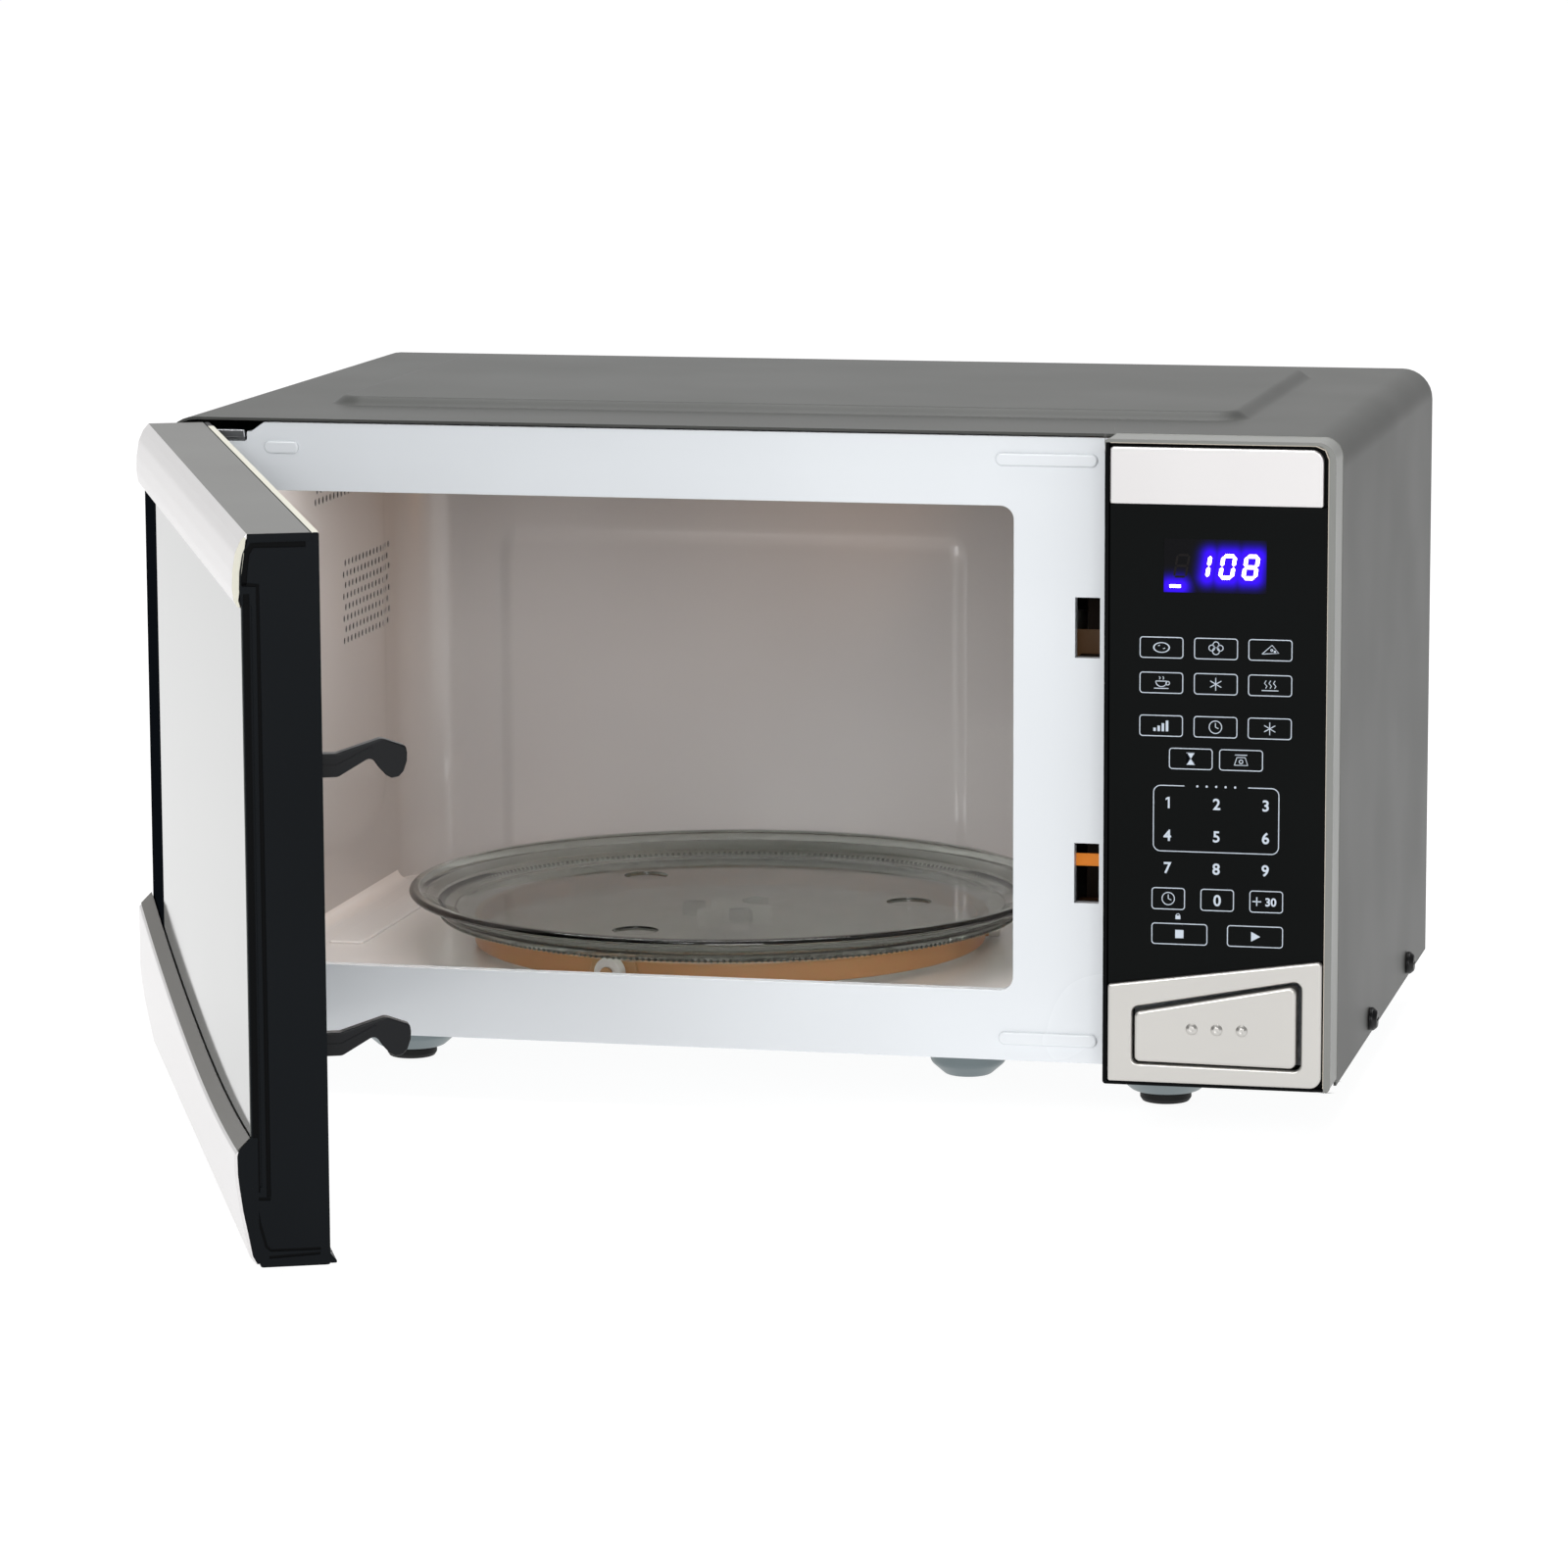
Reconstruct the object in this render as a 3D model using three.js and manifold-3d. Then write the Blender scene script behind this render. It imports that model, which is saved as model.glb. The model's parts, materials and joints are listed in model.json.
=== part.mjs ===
// Countertop microwave oven with a side-hinged door, shown with the door part open.
// Units are millimetres, +Z is up. Inside the model the cabinet frame has X = 0 at the cabinet's
// left side, Y = 0 at the cover's front edge with +Y towards the back, and Z = 0 on the table.
// The whole cabinet frame is then shifted so that the origin is the bottom centre of the
// oven's bounding box with the door at its rest angle.

import * as THREE from 'three';
import { mergeVertices } from 'three/addons/utils/BufferGeometryUtils.js';
import Module from 'manifold-3d';

const wasm = await Module();
wasm.setup();

// ---------- driving dimensions ----------

const CABINET_WIDTH = 440;
const CABINET_DEPTH = 274;
const COVER_TOP = 254.2;
const COVER_BOTTOM = 18.9;
const COVER_RADIUS = 12;
const SHEET = 1;            // every folded sheet-metal piece
const GAP = 0.3;            // between pieces that touch on the real oven

const FRAME_SHIFT_X = -217.993; // cabinet frame to the origin under the bounding box's centre
const FRAME_SHIFT_Y = 23.462;

const PLATE = { front: 1.8, back: 2.8, bottom: 23, top: 252.6, left: 1.4, right: 438.6 };
const OPENING = { x0: 23.3, x1: 320.7, z0: 49, z1: 227.2, radius: 5 };
const CAVITY = { x0: 15, x1: 329, y0: 3.1, y1: 270, z0: 37.2, z1: 241, corner: 23 };
const LATCH_SLOTS = { x0: 343.4, x1: 352.4, height: 22, bottoms: [82.5, 172.5], depth: 3.4 };

const BASE_Z = 19.6;        // underside of the base plate
const FOOT_PLACES = [[70.5, 76], [369.5, 52], [70.5, 236], [369.5, 236]];

const PANEL = { x0: 357.9, x1: 440.4, z0: 20.7, z1: 254.4, front: -21.1, back: -0.3 };
const PANEL_FLOOR = -18.6;  // recessed face of the control housing that carries the trims
const MEMBRANE = { x0: 359.9, x1: 438.1, top: 231.3, thickness: 1.7 };
const DISPLAY = { x0: 378.6, x1: 416.6, z0: 199.6, z1: 220 };
const TRIM_EDGE = { left: 57.5, right: 68.5 };  // sloping top edge of the lower trim

const HINGE = { x: 7.8, y: -17.7 };
const DOOR_REST_ANGLE = 66.5;  // degrees from closed
const DOOR = { x0: 1.8, x1: 355.7, z0: 17.4, z1: 252.9, inner: -1.8, wall: -23.3, glass: -26.6 };
const LATCH = { x0: 344.7, x1: 349.1, bottoms: [83, 173] };

const TABLE_CENTRE = { x: 183, y: 137 };
const TRAY = { radius: 125.5, underside: 49.4, floor: 53.2, rim: 61.1 };
const ROLLER = { radius: 5.8, bore: 2.2, width: 5, track: 103.7, height: 43.3 };
const ROLLER_ANGLES = [-102.8, 17.2, 137.2];

const FAN = { x: 388, z: 172, y0: 240, y1: 262, radius: 34.5 };

// ---------- finishes ----------

function finish(color, roughness, metalness, extra = {}) {
  return new THREE.MeshStandardMaterial({ color, roughness, metalness, ...extra });
}

const FINISH = {
  cover: () => finish(0x777875, 0.45, 0.3),
  enamel: () => finish(0xdfe5ea, 0.3, 0),
  liner: () => finish(0xd9d6d2, 0.35, 0),
  galvanised: () => finish(0xb4b8ba, 0.4, 0.8),
  steel: () => finish(0xc6c8ca, 0.3, 0.9),
  darkSteel: () => finish(0x4c4e50, 0.5, 0.8),
  silver: () => finish(0xd8d5d0, 0.3, 0.7),
  bezel: () => finish(0x8e908c, 0.4, 0.2),
  black: () => finish(0x14181c, 0.35, 0),
  rubber: () => finish(0x101010, 0.8, 0),
  glass: () => finish(0xd4d8d4, 0.05, 0, { transparent: true, opacity: 0.45 }),
  clear: () => finish(0xdfe8e4, 0.08, 0, { transparent: true, opacity: 0.35 }),
  ivory: () => finish(0xe6e1d3, 0.5, 0),
  amber: () => finish(0xb06f35, 0.4, 0),
  white: () => finish(0xf0f0ee, 0.4, 0),
  board: () => finish(0x2f6b45, 0.6, 0),
  mica: () => finish(0xcfc5ad, 0.6, 0),
  lamp: () => finish(0xffd9a0, 0.1, 0),
};

// ---------- solids ----------

function toSolid(geometry) {
  const bare = geometry.clone();
  bare.deleteAttribute('normal');
  bare.deleteAttribute('uv');
  const merged = mergeVertices(bare, 1e-4);
  return new wasm.Manifold(new wasm.Mesh({
    numProp: 3,
    vertProperties: Float32Array.from(merged.attributes.position.array),
    triVerts: Uint32Array.from(merged.index.array),
  }));
}

function toGeometry(solid) {
  const mesh = solid.getMesh();
  const geometry = new THREE.BufferGeometry();
  geometry.setAttribute('position', new THREE.BufferAttribute(mesh.vertProperties, 3));
  geometry.setIndex(new THREE.BufferAttribute(mesh.triVerts, 1));
  geometry.computeVertexNormals();
  return geometry;
}

function join(...solids) {
  return solids.reduce((sum, next) => sum.add(next));
}

function cut(solid, ...tools) {
  return tools.reduce((rest, tool) => rest.subtract(tool), solid);
}

function box(x0, x1, y0, y1, z0, z1) {
  const geometry = new THREE.BoxGeometry(x1 - x0, y1 - y0, z1 - z0);
  geometry.translate((x0 + x1) / 2, (y0 + y1) / 2, (z0 + z1) / 2);
  return toSolid(geometry);
}

function outline(points) {
  return new THREE.Shape(points.map(([a, b]) => new THREE.Vector2(a, b)));
}

// Rectangle with its own corner radii: [lower left, lower right, upper right, upper left].
function roundedRectangle(a0, a1, b0, b1, radii) {
  const [r0, r1, r2, r3] = Array.isArray(radii) ? radii : [radii, radii, radii, radii];
  const shape = new THREE.Shape();
  shape.moveTo(a0 + r0, b0);
  shape.lineTo(a1 - r1, b0);
  if (r1 > 0) shape.absarc(a1 - r1, b0 + r1, r1, -Math.PI / 2, 0);
  shape.lineTo(a1, b1 - r2);
  if (r2 > 0) shape.absarc(a1 - r2, b1 - r2, r2, 0, Math.PI / 2);
  shape.lineTo(a0 + r3, b1);
  if (r3 > 0) shape.absarc(a0 + r3, b1 - r3, r3, Math.PI / 2, Math.PI);
  shape.lineTo(a0, b0 + r0);
  if (r0 > 0) shape.absarc(a0 + r0, b0 + r0, r0, Math.PI, 1.5 * Math.PI);
  return shape;
}

function extrude(shape, depth, segments = 3) {
  return new THREE.ExtrudeGeometry(shape, { depth, bevelEnabled: false, curveSegments: segments });
}

// The shape's two axes are Y and Z, and it runs along X.
function alongX(shape, x0, x1, segments) {
  const geometry = extrude(shape, x1 - x0, segments);
  geometry.applyMatrix4(new THREE.Matrix4().set(0, 0, 1, x0, 1, 0, 0, 0, 0, 1, 0, 0, 0, 0, 0, 1));
  return toSolid(geometry);
}

// The shape's two axes are X and Z, and it runs along Y.
function alongY(shape, y0, y1, segments) {
  const geometry = extrude(shape, y1 - y0, segments);
  geometry.applyMatrix4(new THREE.Matrix4().set(1, 0, 0, 0, 0, 0, -1, y1, 0, 1, 0, 0, 0, 0, 0, 1));
  return toSolid(geometry);
}

// The shape's two axes are X and Y, and it runs along Z.
function alongZ(shape, z0, z1, segments) {
  const geometry = extrude(shape, z1 - z0, segments);
  geometry.translate(0, 0, z0);
  return toSolid(geometry);
}

// Cylinder along X, Y or Z from one coordinate to another on that axis.
function rod(axis, [x, y, z], from, to, radius, segments = 16) {
  const geometry = new THREE.CylinderGeometry(radius, radius, to - from, segments);
  const middle = (from + to) / 2;
  if (axis === 'x') {
    geometry.rotateZ(Math.PI / 2);
    geometry.translate(middle, y, z);
  } else if (axis === 'y') {
    geometry.translate(x, middle, z);
  } else {
    geometry.rotateX(Math.PI / 2);
    geometry.translate(x, y, middle);
  }
  return toSolid(geometry);
}

// Turned piece about a vertical axis: profile points are [radius, height].
function turned([x, y], profile, segments = 24) {
  const points = profile.map(([r, z]) => new THREE.Vector2(r, z));
  const geometry = new THREE.LatheGeometry(points, segments);
  geometry.rotateX(Math.PI / 2);
  geometry.translate(x, y, 0);
  return toSolid(geometry);
}

// Coil spring about Z, standing on the origin.
function coil(radius, wire, height, turns) {
  class Helix extends THREE.Curve {
    getPoint(t, target = new THREE.Vector3()) {
      const angle = 2 * Math.PI * turns * t;
      return target.set(radius * Math.cos(angle), radius * Math.sin(angle), height * t);
    }
  }
  const section = new THREE.Shape().absarc(0, 0, wire / 2, 0, 2 * Math.PI);
  return new THREE.ExtrudeGeometry(section, {
    extrudePath: new Helix(), steps: turns * 8, curveSegments: 3, bevelEnabled: false,
  });
}

// Flat-topped pan with sloping sides, used for stamped panels that rise from a sheet.
function pan(x0, x1, y0, y1, z0, z1, slope, radius) {
  const rise = z1 - z0;
  const shape = roundedRectangle(x0, x1, y0, y1, radius);
  const geometry = new THREE.ExtrudeGeometry(shape, {
    depth: rise, bevelEnabled: true, bevelThickness: rise, bevelSize: slope,
    bevelOffset: -slope, bevelSegments: 1, curveSegments: 4,
  });
  geometry.translate(0, 0, z0 - rise);
  return toSolid(geometry).subtract(box(x0 - 1, x1 + 1, y0 - 1, y1 + 1, z0 - 2 * rise - 1, z0));
}

function place(parent, name, solid, material) {
  const geometry = solid.isBufferGeometry ? solid : toGeometry(solid);
  const mesh = new THREE.Mesh(geometry, material());
  mesh.name = name;
  parent.add(mesh);
  return mesh;
}

function rows(count, first, pitch) {
  return Array.from({ length: count }, (_, i) => first + i * pitch);
}

function radians(degrees) {
  return degrees * Math.PI / 180;
}

// ---------- cabinet sheet metal ----------

const SIDE_SCREWS = [[94.9, 25.1], [210, 25.1]];  // [y, z] on the right side
const SCREW_HOLE = 2.3;

function uProfile(inset) {
  const shape = new THREE.Shape();
  const right = CABINET_WIDTH - inset;
  const top = COVER_TOP - inset;
  const r = COVER_RADIUS - inset;
  shape.moveTo(inset, COVER_BOTTOM - inset);
  shape.lineTo(right, COVER_BOTTOM - inset);
  shape.lineTo(right, top - r);
  shape.absarc(right - r, top - r, r, 0, Math.PI / 2);
  shape.lineTo(inset + r, top);
  shape.absarc(inset + r, top - r, r, Math.PI / 2, Math.PI);
  return shape;
}

function outerCover() {
  const shell = alongY(uProfile(0), 0, CABINET_DEPTH, 6)
    .subtract(alongY(uProfile(SHEET), -1, CABINET_DEPTH + 1, 6));
  const raised = { x0: 46, x1: 398, y0: 50, y1: 240, rise: 2.5, slope: 3.5, radius: 12 };
  const { x0, x1, y0, y1, rise, slope, radius } = raised;
  const inside = COVER_TOP - SHEET;
  const upper = pan(x0, x1, y0, y1, inside + SHEET / 2, inside + SHEET + rise, slope, radius);
  const lower = pan(x0 + SHEET, x1 - SHEET, y0 + SHEET, y1 - SHEET,
    inside - SHEET, inside + rise, slope, radius - SHEET);
  const holes = SIDE_SCREWS.map(([y, z]) => rod('x', [0, y, z], 430, 450, SCREW_HOLE, 12));
  return cut(shell.add(upper), lower, ...holes);
}

function footDish([x, y], flatRadius, wideRadius) {
  const low = 4.2;
  return turned([x, y], [
    [0, low], [flatRadius, low], [flatRadius + 5.5, low + 4.8], [wideRadius, BASE_Z],
    [wideRadius + 1.4, BASE_Z], [wideRadius + 1.4, BASE_Z + SHEET], [wideRadius - 0.8, BASE_Z + SHEET],
    [flatRadius + 4.6, low + 5.5], [flatRadius - 0.5, low + 1.1], [0, low + 1.1],
  ], 14);
}

const SUPPORT_DISH = [292, 65];
const FOOT_STEM_HOLE = 3;

function basePlate() {
  const joggle = outline([
    [3.2, 23.4], [18, 23.4], [24, BASE_Z], [271, BASE_Z], [271, BASE_Z + SHEET],
    [24.6, BASE_Z + SHEET], [18.6, 24.4], [3.2, 24.4],
  ]);
  let plate = alongX(joggle, 1.6, 438.4);
  for (const x of [1.3, 437.7]) plate = plate.add(box(x, x + SHEET, 3.2, 271, BASE_Z, 34));
  const dishes = FOOT_PLACES.map((place) => [place, 12.5, 22.6]);
  dishes.push([SUPPORT_DISH, 8.5, 17]);
  for (const [[x, y], flat, wide] of dishes) {
    plate = plate.subtract(rod('z', [x, y, 0], 10, 30, wide, 14)).add(footDish([x, y], flat, wide));
  }
  for (const [x, y] of FOOT_PLACES) {
    plate = plate.subtract(rod('z', [x, y, 0], 0, 12, FOOT_STEM_HOLE, 12));
  }
  for (const x of rows(6, 120, 9)) plate = plate.subtract(box(x, x + 4, 205, 245, 15, 25));
  for (const [y, z] of SIDE_SCREWS) plate = plate.subtract(rod('x', [0, y, z], 430, 450, SCREW_HOLE, 12));
  return plate;
}

function foot([x, y]) {
  return turned([x, y], [
    [0, 0], [8.5, 0], [9.6, 1.2], [9.6, 3.9], [2.6, 3.9], [2.6, 5.7], [4, 5.7], [2.2, 8.5], [0, 8.5],
  ], 16);
}

const CORD_GLAND = { x: 408, z: 42, hole: 6.9 };

function backPanel() {
  const y0 = 272.3;
  const y1 = y0 + SHEET;
  const face = roundedRectangle(1.6, 438.4, 20.9, 252.8, [0, 0, 10.4, 10.4]);
  let panel = alongY(face, y0, y1, 6);
  for (const x of [40, 370]) {
    const spacer = { z0: 222, z1: 240, depth: 23 };
    const outer = box(x, x + 30, y0, y0 + spacer.depth, spacer.z0, spacer.z1);
    const inner = box(x + SHEET, x + 29, y0 - 1, y0 + spacer.depth - SHEET,
      spacer.z0 + SHEET, spacer.z1 - SHEET);
    panel = panel.add(outer).subtract(inner);
  }
  for (const x of rows(8, 356, 8)) panel = panel.subtract(box(x, x + 4, 270, 275, 140, 205));
  for (const x of rows(10, 60, 10)) panel = panel.subtract(box(x, x + 4, 270, 275, 160, 200));
  return panel.subtract(rod('y', [CORD_GLAND.x, 0, CORD_GLAND.z], 270, 280, CORD_GLAND.hole, 20));
}

function cordGland() {
  const centre = [CORD_GLAND.x, 0, CORD_GLAND.z];
  const body = rod('y', centre, 264, 277, 6.5, 20);
  const flange = rod('y', centre, 273.6, 277, 10, 20);
  const nut = rod('y', centre, 266, 271.9, 9, 6);
  return join(body, flange, nut).subtract(rod('y', centre, 260, 280, 3.7, 14));
}

// A latch slot's clear way, or with a margin the turned-in collar around it.
function latchSlot(z, margin) {
  const { x0, x1, height, depth } = LATCH_SLOTS;
  const front = margin > 0 ? PLATE.front + 0.2 : 0;
  const back = PLATE.back + depth + (margin > 0 ? 0 : 1);
  return box(x0 - margin, x1 + margin, front, back, z - margin, z + height + margin);
}

function frontPlate() {
  const shape = new THREE.Shape();
  const { left, right, bottom, top } = PLATE;
  const corner = 10.6;
  shape.moveTo(left, bottom);
  shape.lineTo(right, bottom);
  shape.lineTo(right, top - corner);
  shape.absarc(right - corner, top - corner, corner, 0, Math.PI / 2);
  shape.lineTo(39.2, top);
  shape.lineTo(32.8, 245.4);
  shape.lineTo(5, 245.4);
  shape.lineTo(left, 238);
  const plate = alongY(shape, PLATE.front, PLATE.back, 6);
  const through = (x0, x1, z0, z1, r) => alongY(roundedRectangle(x0, x1, z0, z1, r), 0, 5, 4);
  const { x0, x1, z0, z1, radius } = OPENING;
  const slots = LATCH_SLOTS.bottoms.map((z) => latchSlot(z, 0));
  const collars = LATCH_SLOTS.bottoms.map((z) => latchSlot(z, SHEET));
  const ribs = [[314, 351.5, 244.2], [315.5, 352, 31.4], [38.5, 51.7, 242.8]].map(([a, b, z]) => (
    alongY(roundedRectangle(a, b, z - 2.2, z + 2.2, 2.1), PLATE.front - 0.8, PLATE.front + 0.4, 3)));
  return cut(join(plate, ...ribs, ...collars), through(x0, x1, z0, z1, radius), ...slots,
    through(367, 431, 90, 226, 3), through(376, 392, 34, 50, 2));
}

function plan(inset) {
  const { x0, x1, y0, y1, corner } = CAVITY;
  const r = corner + inset;
  const front = inset > 0 ? y0 : y0 - 5;
  const back = y1 + inset;
  return roundedRectangle(x0 - inset, x1 + inset, front, back, [0, 0, r, r]);
}

const VENT_ROWS = { lower: rows(8, 146, 4.5), upper: rows(5, 206, 4.5) };
const WAVEGUIDE = { y0: 103, y1: 197, z0: 125, z1: 195 };
const MAGNETRON = { x: 353.4, y: 150, z: 160 };

function cavityLiner() {
  const outer = alongZ(plan(SHEET), CAVITY.z0 - SHEET, CAVITY.z1 + SHEET, 6);
  const inner = alongZ(plan(0), CAVITY.z0, CAVITY.z1, 6);
  const vents = [];
  const { x0, x1 } = CAVITY;
  for (const z of VENT_ROWS.lower) vents.push(box(x0 - 5, x0 + 5, 172, 244, z, z + 2.2));
  for (const z of VENT_ROWS.upper) vents.push(box(x0 - 5, x0 + 5, 135, 226, z, z + 2.2));
  for (const z of rows(3, 194, 7)) vents.push(box(x1 - 5, x1 + 5, 216, 246, z, z + 3));
  const feed = box(x1 - 5, x1 + 5, WAVEGUIDE.y0 + 4, WAVEGUIDE.y1 - 4, WAVEGUIDE.z0 + 4, WAVEGUIDE.z1 - 4);
  const shaftHole = rod('z', [TABLE_CENTRE.x, TABLE_CENTRE.y, 0], 30, 40, 9, 20);
  return cut(outer, inner, feed, shaftHole, ...vents);
}

// ---------- parts in the component bay ----------

function waveguide() {
  const { y0, y1, z0, z1 } = WAVEGUIDE;
  const x0 = CAVITY.x1 + SHEET + 0.4;
  const shell = box(x0, MAGNETRON.x - 0.4, y0, y1, z0, z1);
  const hollow = box(x0 - 1, MAGNETRON.x - 1.6, y0 + 1.2, y1 - 1.2, z0 + 1.2, z1 - 1.2);
  return cut(shell, hollow, rod('x', [0, MAGNETRON.y, MAGNETRON.z], x0 + 5, MAGNETRON.x + 5, 11, 16));
}

function magnetron() {
  const { x, y, z } = MAGNETRON;
  const slab = (from, to, before, behind) => (
    box(x + from, x + to, y - before, y + behind, z - 28, z + 28));
  const flange = box(x, x + 1.2, y - 49, y + 47, z - 38, z + 38);
  const core = rod('x', [0, y, z], x + 0.5, x + 58, 19, 16);
  const antenna = rod('x', [0, y, z], x - 15, x + 1, 8, 14);
  const fins = rows(6, 7, 5).map((from) => slab(from, from + 1, 38, 38));
  const yokes = [slab(3, 40, 40, -37), slab(3, 40, -37, 40)];
  const ends = [slab(1, 4, 40, 40), slab(38, 40, 40, 40)];
  const filterBox = box(x + 45, x + 70, y - 27, y + 27, z - 24, z + 24);
  return join(flange, core, antenna, ...fins, ...yokes, ...ends, filterBox);
}

function transformer() {
  const flange = box(346, 430, 168, 222, 21, 23);
  const core = box(352, 424, 165, 225, 22, 84);
  const winding = alongY(roundedRectangle(364, 412, 33, 73, 8), 148, 242, 3);
  return join(flange, core, winding);
}

const CAPACITOR = { x0: 354, x1: 420, y0: 98, y1: 142, z0: 24, z1: 54 };

function capacitor() {
  const { x0, x1, y0, y1, z0, z1 } = CAPACITOR;
  const can = alongX(roundedRectangle(y0, y1, z0, z1, 14.8), x0, x1, 5);
  const terminals = [112, 128].map((y) => box(x1 - 1, x1 + 8, y - 3, y + 3, 38.6, 39.8));
  return join(can, ...terminals);
}

function capacitorClamp() {
  const { y0, y1, z0, z1 } = CAPACITOR;
  const outer = roundedRectangle(y0 - 1.4, y1 + 1.4, z0 - 1.4, z1 + 1.4, 16.2);
  const inner = roundedRectangle(y0 - 0.4, y1 + 0.4, z0 - 0.4, z1 + 0.4, 15.2);
  const band = alongX(outer, 378, 392, 5).subtract(alongX(inner, 370, 400, 5));
  const tab = box(378, 392, y1 + 0.6, y1 + 13, 21, 22.2);
  const riser = box(378, 392, y1 + 0.6, y1 + 1.8, 21, 40);
  return join(band, tab, riser);
}

function diode() {
  const body = rod('x', [0, 84, 40], 372, 392, 3.6, 12);
  const leads = rod('x', [0, 84, 40], 360, 404, 0.8, 6);
  return join(body, leads);
}

function fanHousing() {
  const { x, z, y0, y1, radius } = FAN;
  const half = radius + 7.5;
  const frame = box(x - half, x + half, y0, y1, z - half, z + half);
  const bore = rod('y', [x, 0, z], y0 + 2, y1 + 1, radius + 3.5, 28);
  const mouth = rod('y', [x, 0, z], y0 - 1, y0 + 3, radius + 0.5, 28);
  const strut = box(x - half + 2, x + half - 2, y0, y0 + 2, z - 8, z + 8);
  const shaft = rod('y', [x, 0, z], y0 - 1, y0 + 3, 3.5, 14);
  return cut(frame, bore, mouth).add(strut).subtract(shaft);
}

function fanMotor() {
  const { x, z } = FAN;
  const face = FAN.y0 - GAP;
  const core = box(x - 22, x + 18, face - 12.7, face, z - 16, z + 16);
  const winding = box(x - 19, x - 5, face - 16.7, face, z - 22, z + 22);
  const bush = rod('y', [x + 4, 0, z], face - 18.7, face - 12, 8, 14);
  const shaft = rod('y', [x, 0, z], face - 6, face + 1, 3, 12);
  return join(core, winding, bush).subtract(shaft);
}

function fanBlade() {
  const { x, z, y0, radius } = FAN;
  const hub = rod('y', [x, 0, z], y0 + 4, y0 + 18, 9, 16);
  const shaft = rod('y', [x, 0, z], y0 - 5, y0 + 6, 2.6, 12);
  const count = 5;
  const root = 8.5;
  const blades = rows(count, 0, 360 / count).map((angle) => {
    const blade = new THREE.BoxGeometry(radius - root, 1.6, 24);
    blade.rotateX(radians(28));
    blade.translate((radius + root) / 2, 0, 0);
    blade.rotateY(radians(angle));
    blade.translate(x, y0 + 11, z);
    return toSolid(blade);
  });
  return join(hub, shaft, ...blades);
}

const LAMP = { x: 339, y: 231, z: 201 };

function lampHolder() {
  const { x, y, z } = LAMP;
  const socket = rod('x', [0, y, z], x + 10, x + 19, 8, 16);
  const tab = box(x + 18, x + 19.2, y - 8, y + 8, z - 4, z + 26);
  return join(socket, tab).subtract(rod('x', [0, y, z], x + 9, x + 16, 6.2, 14));
}

function lampBulb() {
  const cap = rod('x', [0, LAMP.y, LAMP.z], LAMP.x + 4, LAMP.x + 15.5, 5.8, 14);
  const ball = new THREE.SphereGeometry(8, 14, 8);
  ball.translate(LAMP.x, LAMP.y, LAMP.z);
  return join(cap, toSolid(ball));
}

function noiseFilter() {
  const board = box(345, 425, 40, 116, 224, 225.6);
  const choke = rod('z', [365, 66, 0], 225, 241, 14, 16).subtract(rod('z', [365, 66, 0], 224.8, 245, 6, 12));
  const film = box(388, 414, 52, 64, 225, 240);
  const fuse = rod('x', [0, 98, 231], 355, 385, 3.2, 10);
  const clips = [box(355, 361, 94, 102, 225, 231), box(379, 385, 94, 102, 225, 231)];
  const relay = box(396, 418, 84, 104, 225, 240);
  return join(board, choke, film, fuse, ...clips, relay);
}

function thermalCutout() {
  const x = CAVITY.x1 + SHEET + 0.4;
  const body = rod('x', [0, 62, 190], x, x + 8, 8, 16);
  const ears = box(x, x + 1.2, 50, 74, 185, 195);
  const terminals = [57, 67].map((y) => box(x + 7, x + 15, y - 0.6, y + 0.6, 187, 193));
  return join(body, ears, ...terminals);
}

// ---------- turntable drive ----------

function turntableMotor() {
  const { x, y } = TABLE_CENTRE;
  const can = rod('z', [x, y, 0], 21.3, 35.8, 24.5, 24);
  const ears = box(x - 34, x + 34, y - 6, y + 6, 34.3, 35.8);
  const connector = box(x - 9, x + 9, y + 20, y + 32, 23, 32);
  return join(can, ears, connector);
}

function turntableShaft() {
  return rod('z', [0, 0, 0], 36.1, 47.8, 3, 14);
}

function turntableCoupler() {
  const top = TRAY.underside - 0.4;
  const hub = rod('z', [0, 0, 0], 38.4, top, 7.6, 18);
  const lobes = [0, 120, 240].map((angle) => (
    box(0, 17, -3, 3, 42, top).rotate([0, 0, angle])));
  return join(hub, ...lobes).subtract(rod('z', [0, 0, 0], 30, 48.2, 3.4, 14));
}

function glassTray() {
  const { radius, underside, floor, rim } = TRAY;
  const dish = turned([0, 0], [
    [0, underside], [108, underside], [114, 51.4], [120, 57], [radius - 0.3, 59], [radius, 60.4],
    [radius - 1.7, rim], [119, 59.6], [113.5, 55], [107.5, floor], [0, floor],
  ], 40);
  const lugs = [60, 180, 300].map((angle) => (
    box(10.5, 18.5, -4, 4, 44.5, underside + 1).rotate([0, 0, angle])));
  return join(dish, ...lugs);
}

function rollerRing() {
  const band = turned([0, 0], [[97.4, 39.2], [99.8, 39.2], [99.8, 47.3], [97.4, 47.3], [97.4, 39.2]], 36);
  const axles = ROLLER_ANGLES.map((angle) => {
    const stub = rod('x', [0, 0, ROLLER.height], 98.5, 107.6, 1.8, 10);
    const cap = rod('x', [0, 0, ROLLER.height], 106.6, 108, 2.8, 12);
    const pad = box(95.5, 100.8, -9, 9, 39.2, 47.3);
    return join(stub, cap, pad).rotate([0, 0, angle]);
  });
  return join(band, ...axles);
}

// Wheel about its own X axis, centred on the origin.
function roller() {
  const { radius, bore, width } = ROLLER;
  const tyre = rod('x', [0, 0, 0], -width / 2, width / 2, radius, 20);
  return tyre.subtract(rod('x', [0, 0, 0], -width, width, bore, 12));
}

// ---------- control panel ----------

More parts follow.
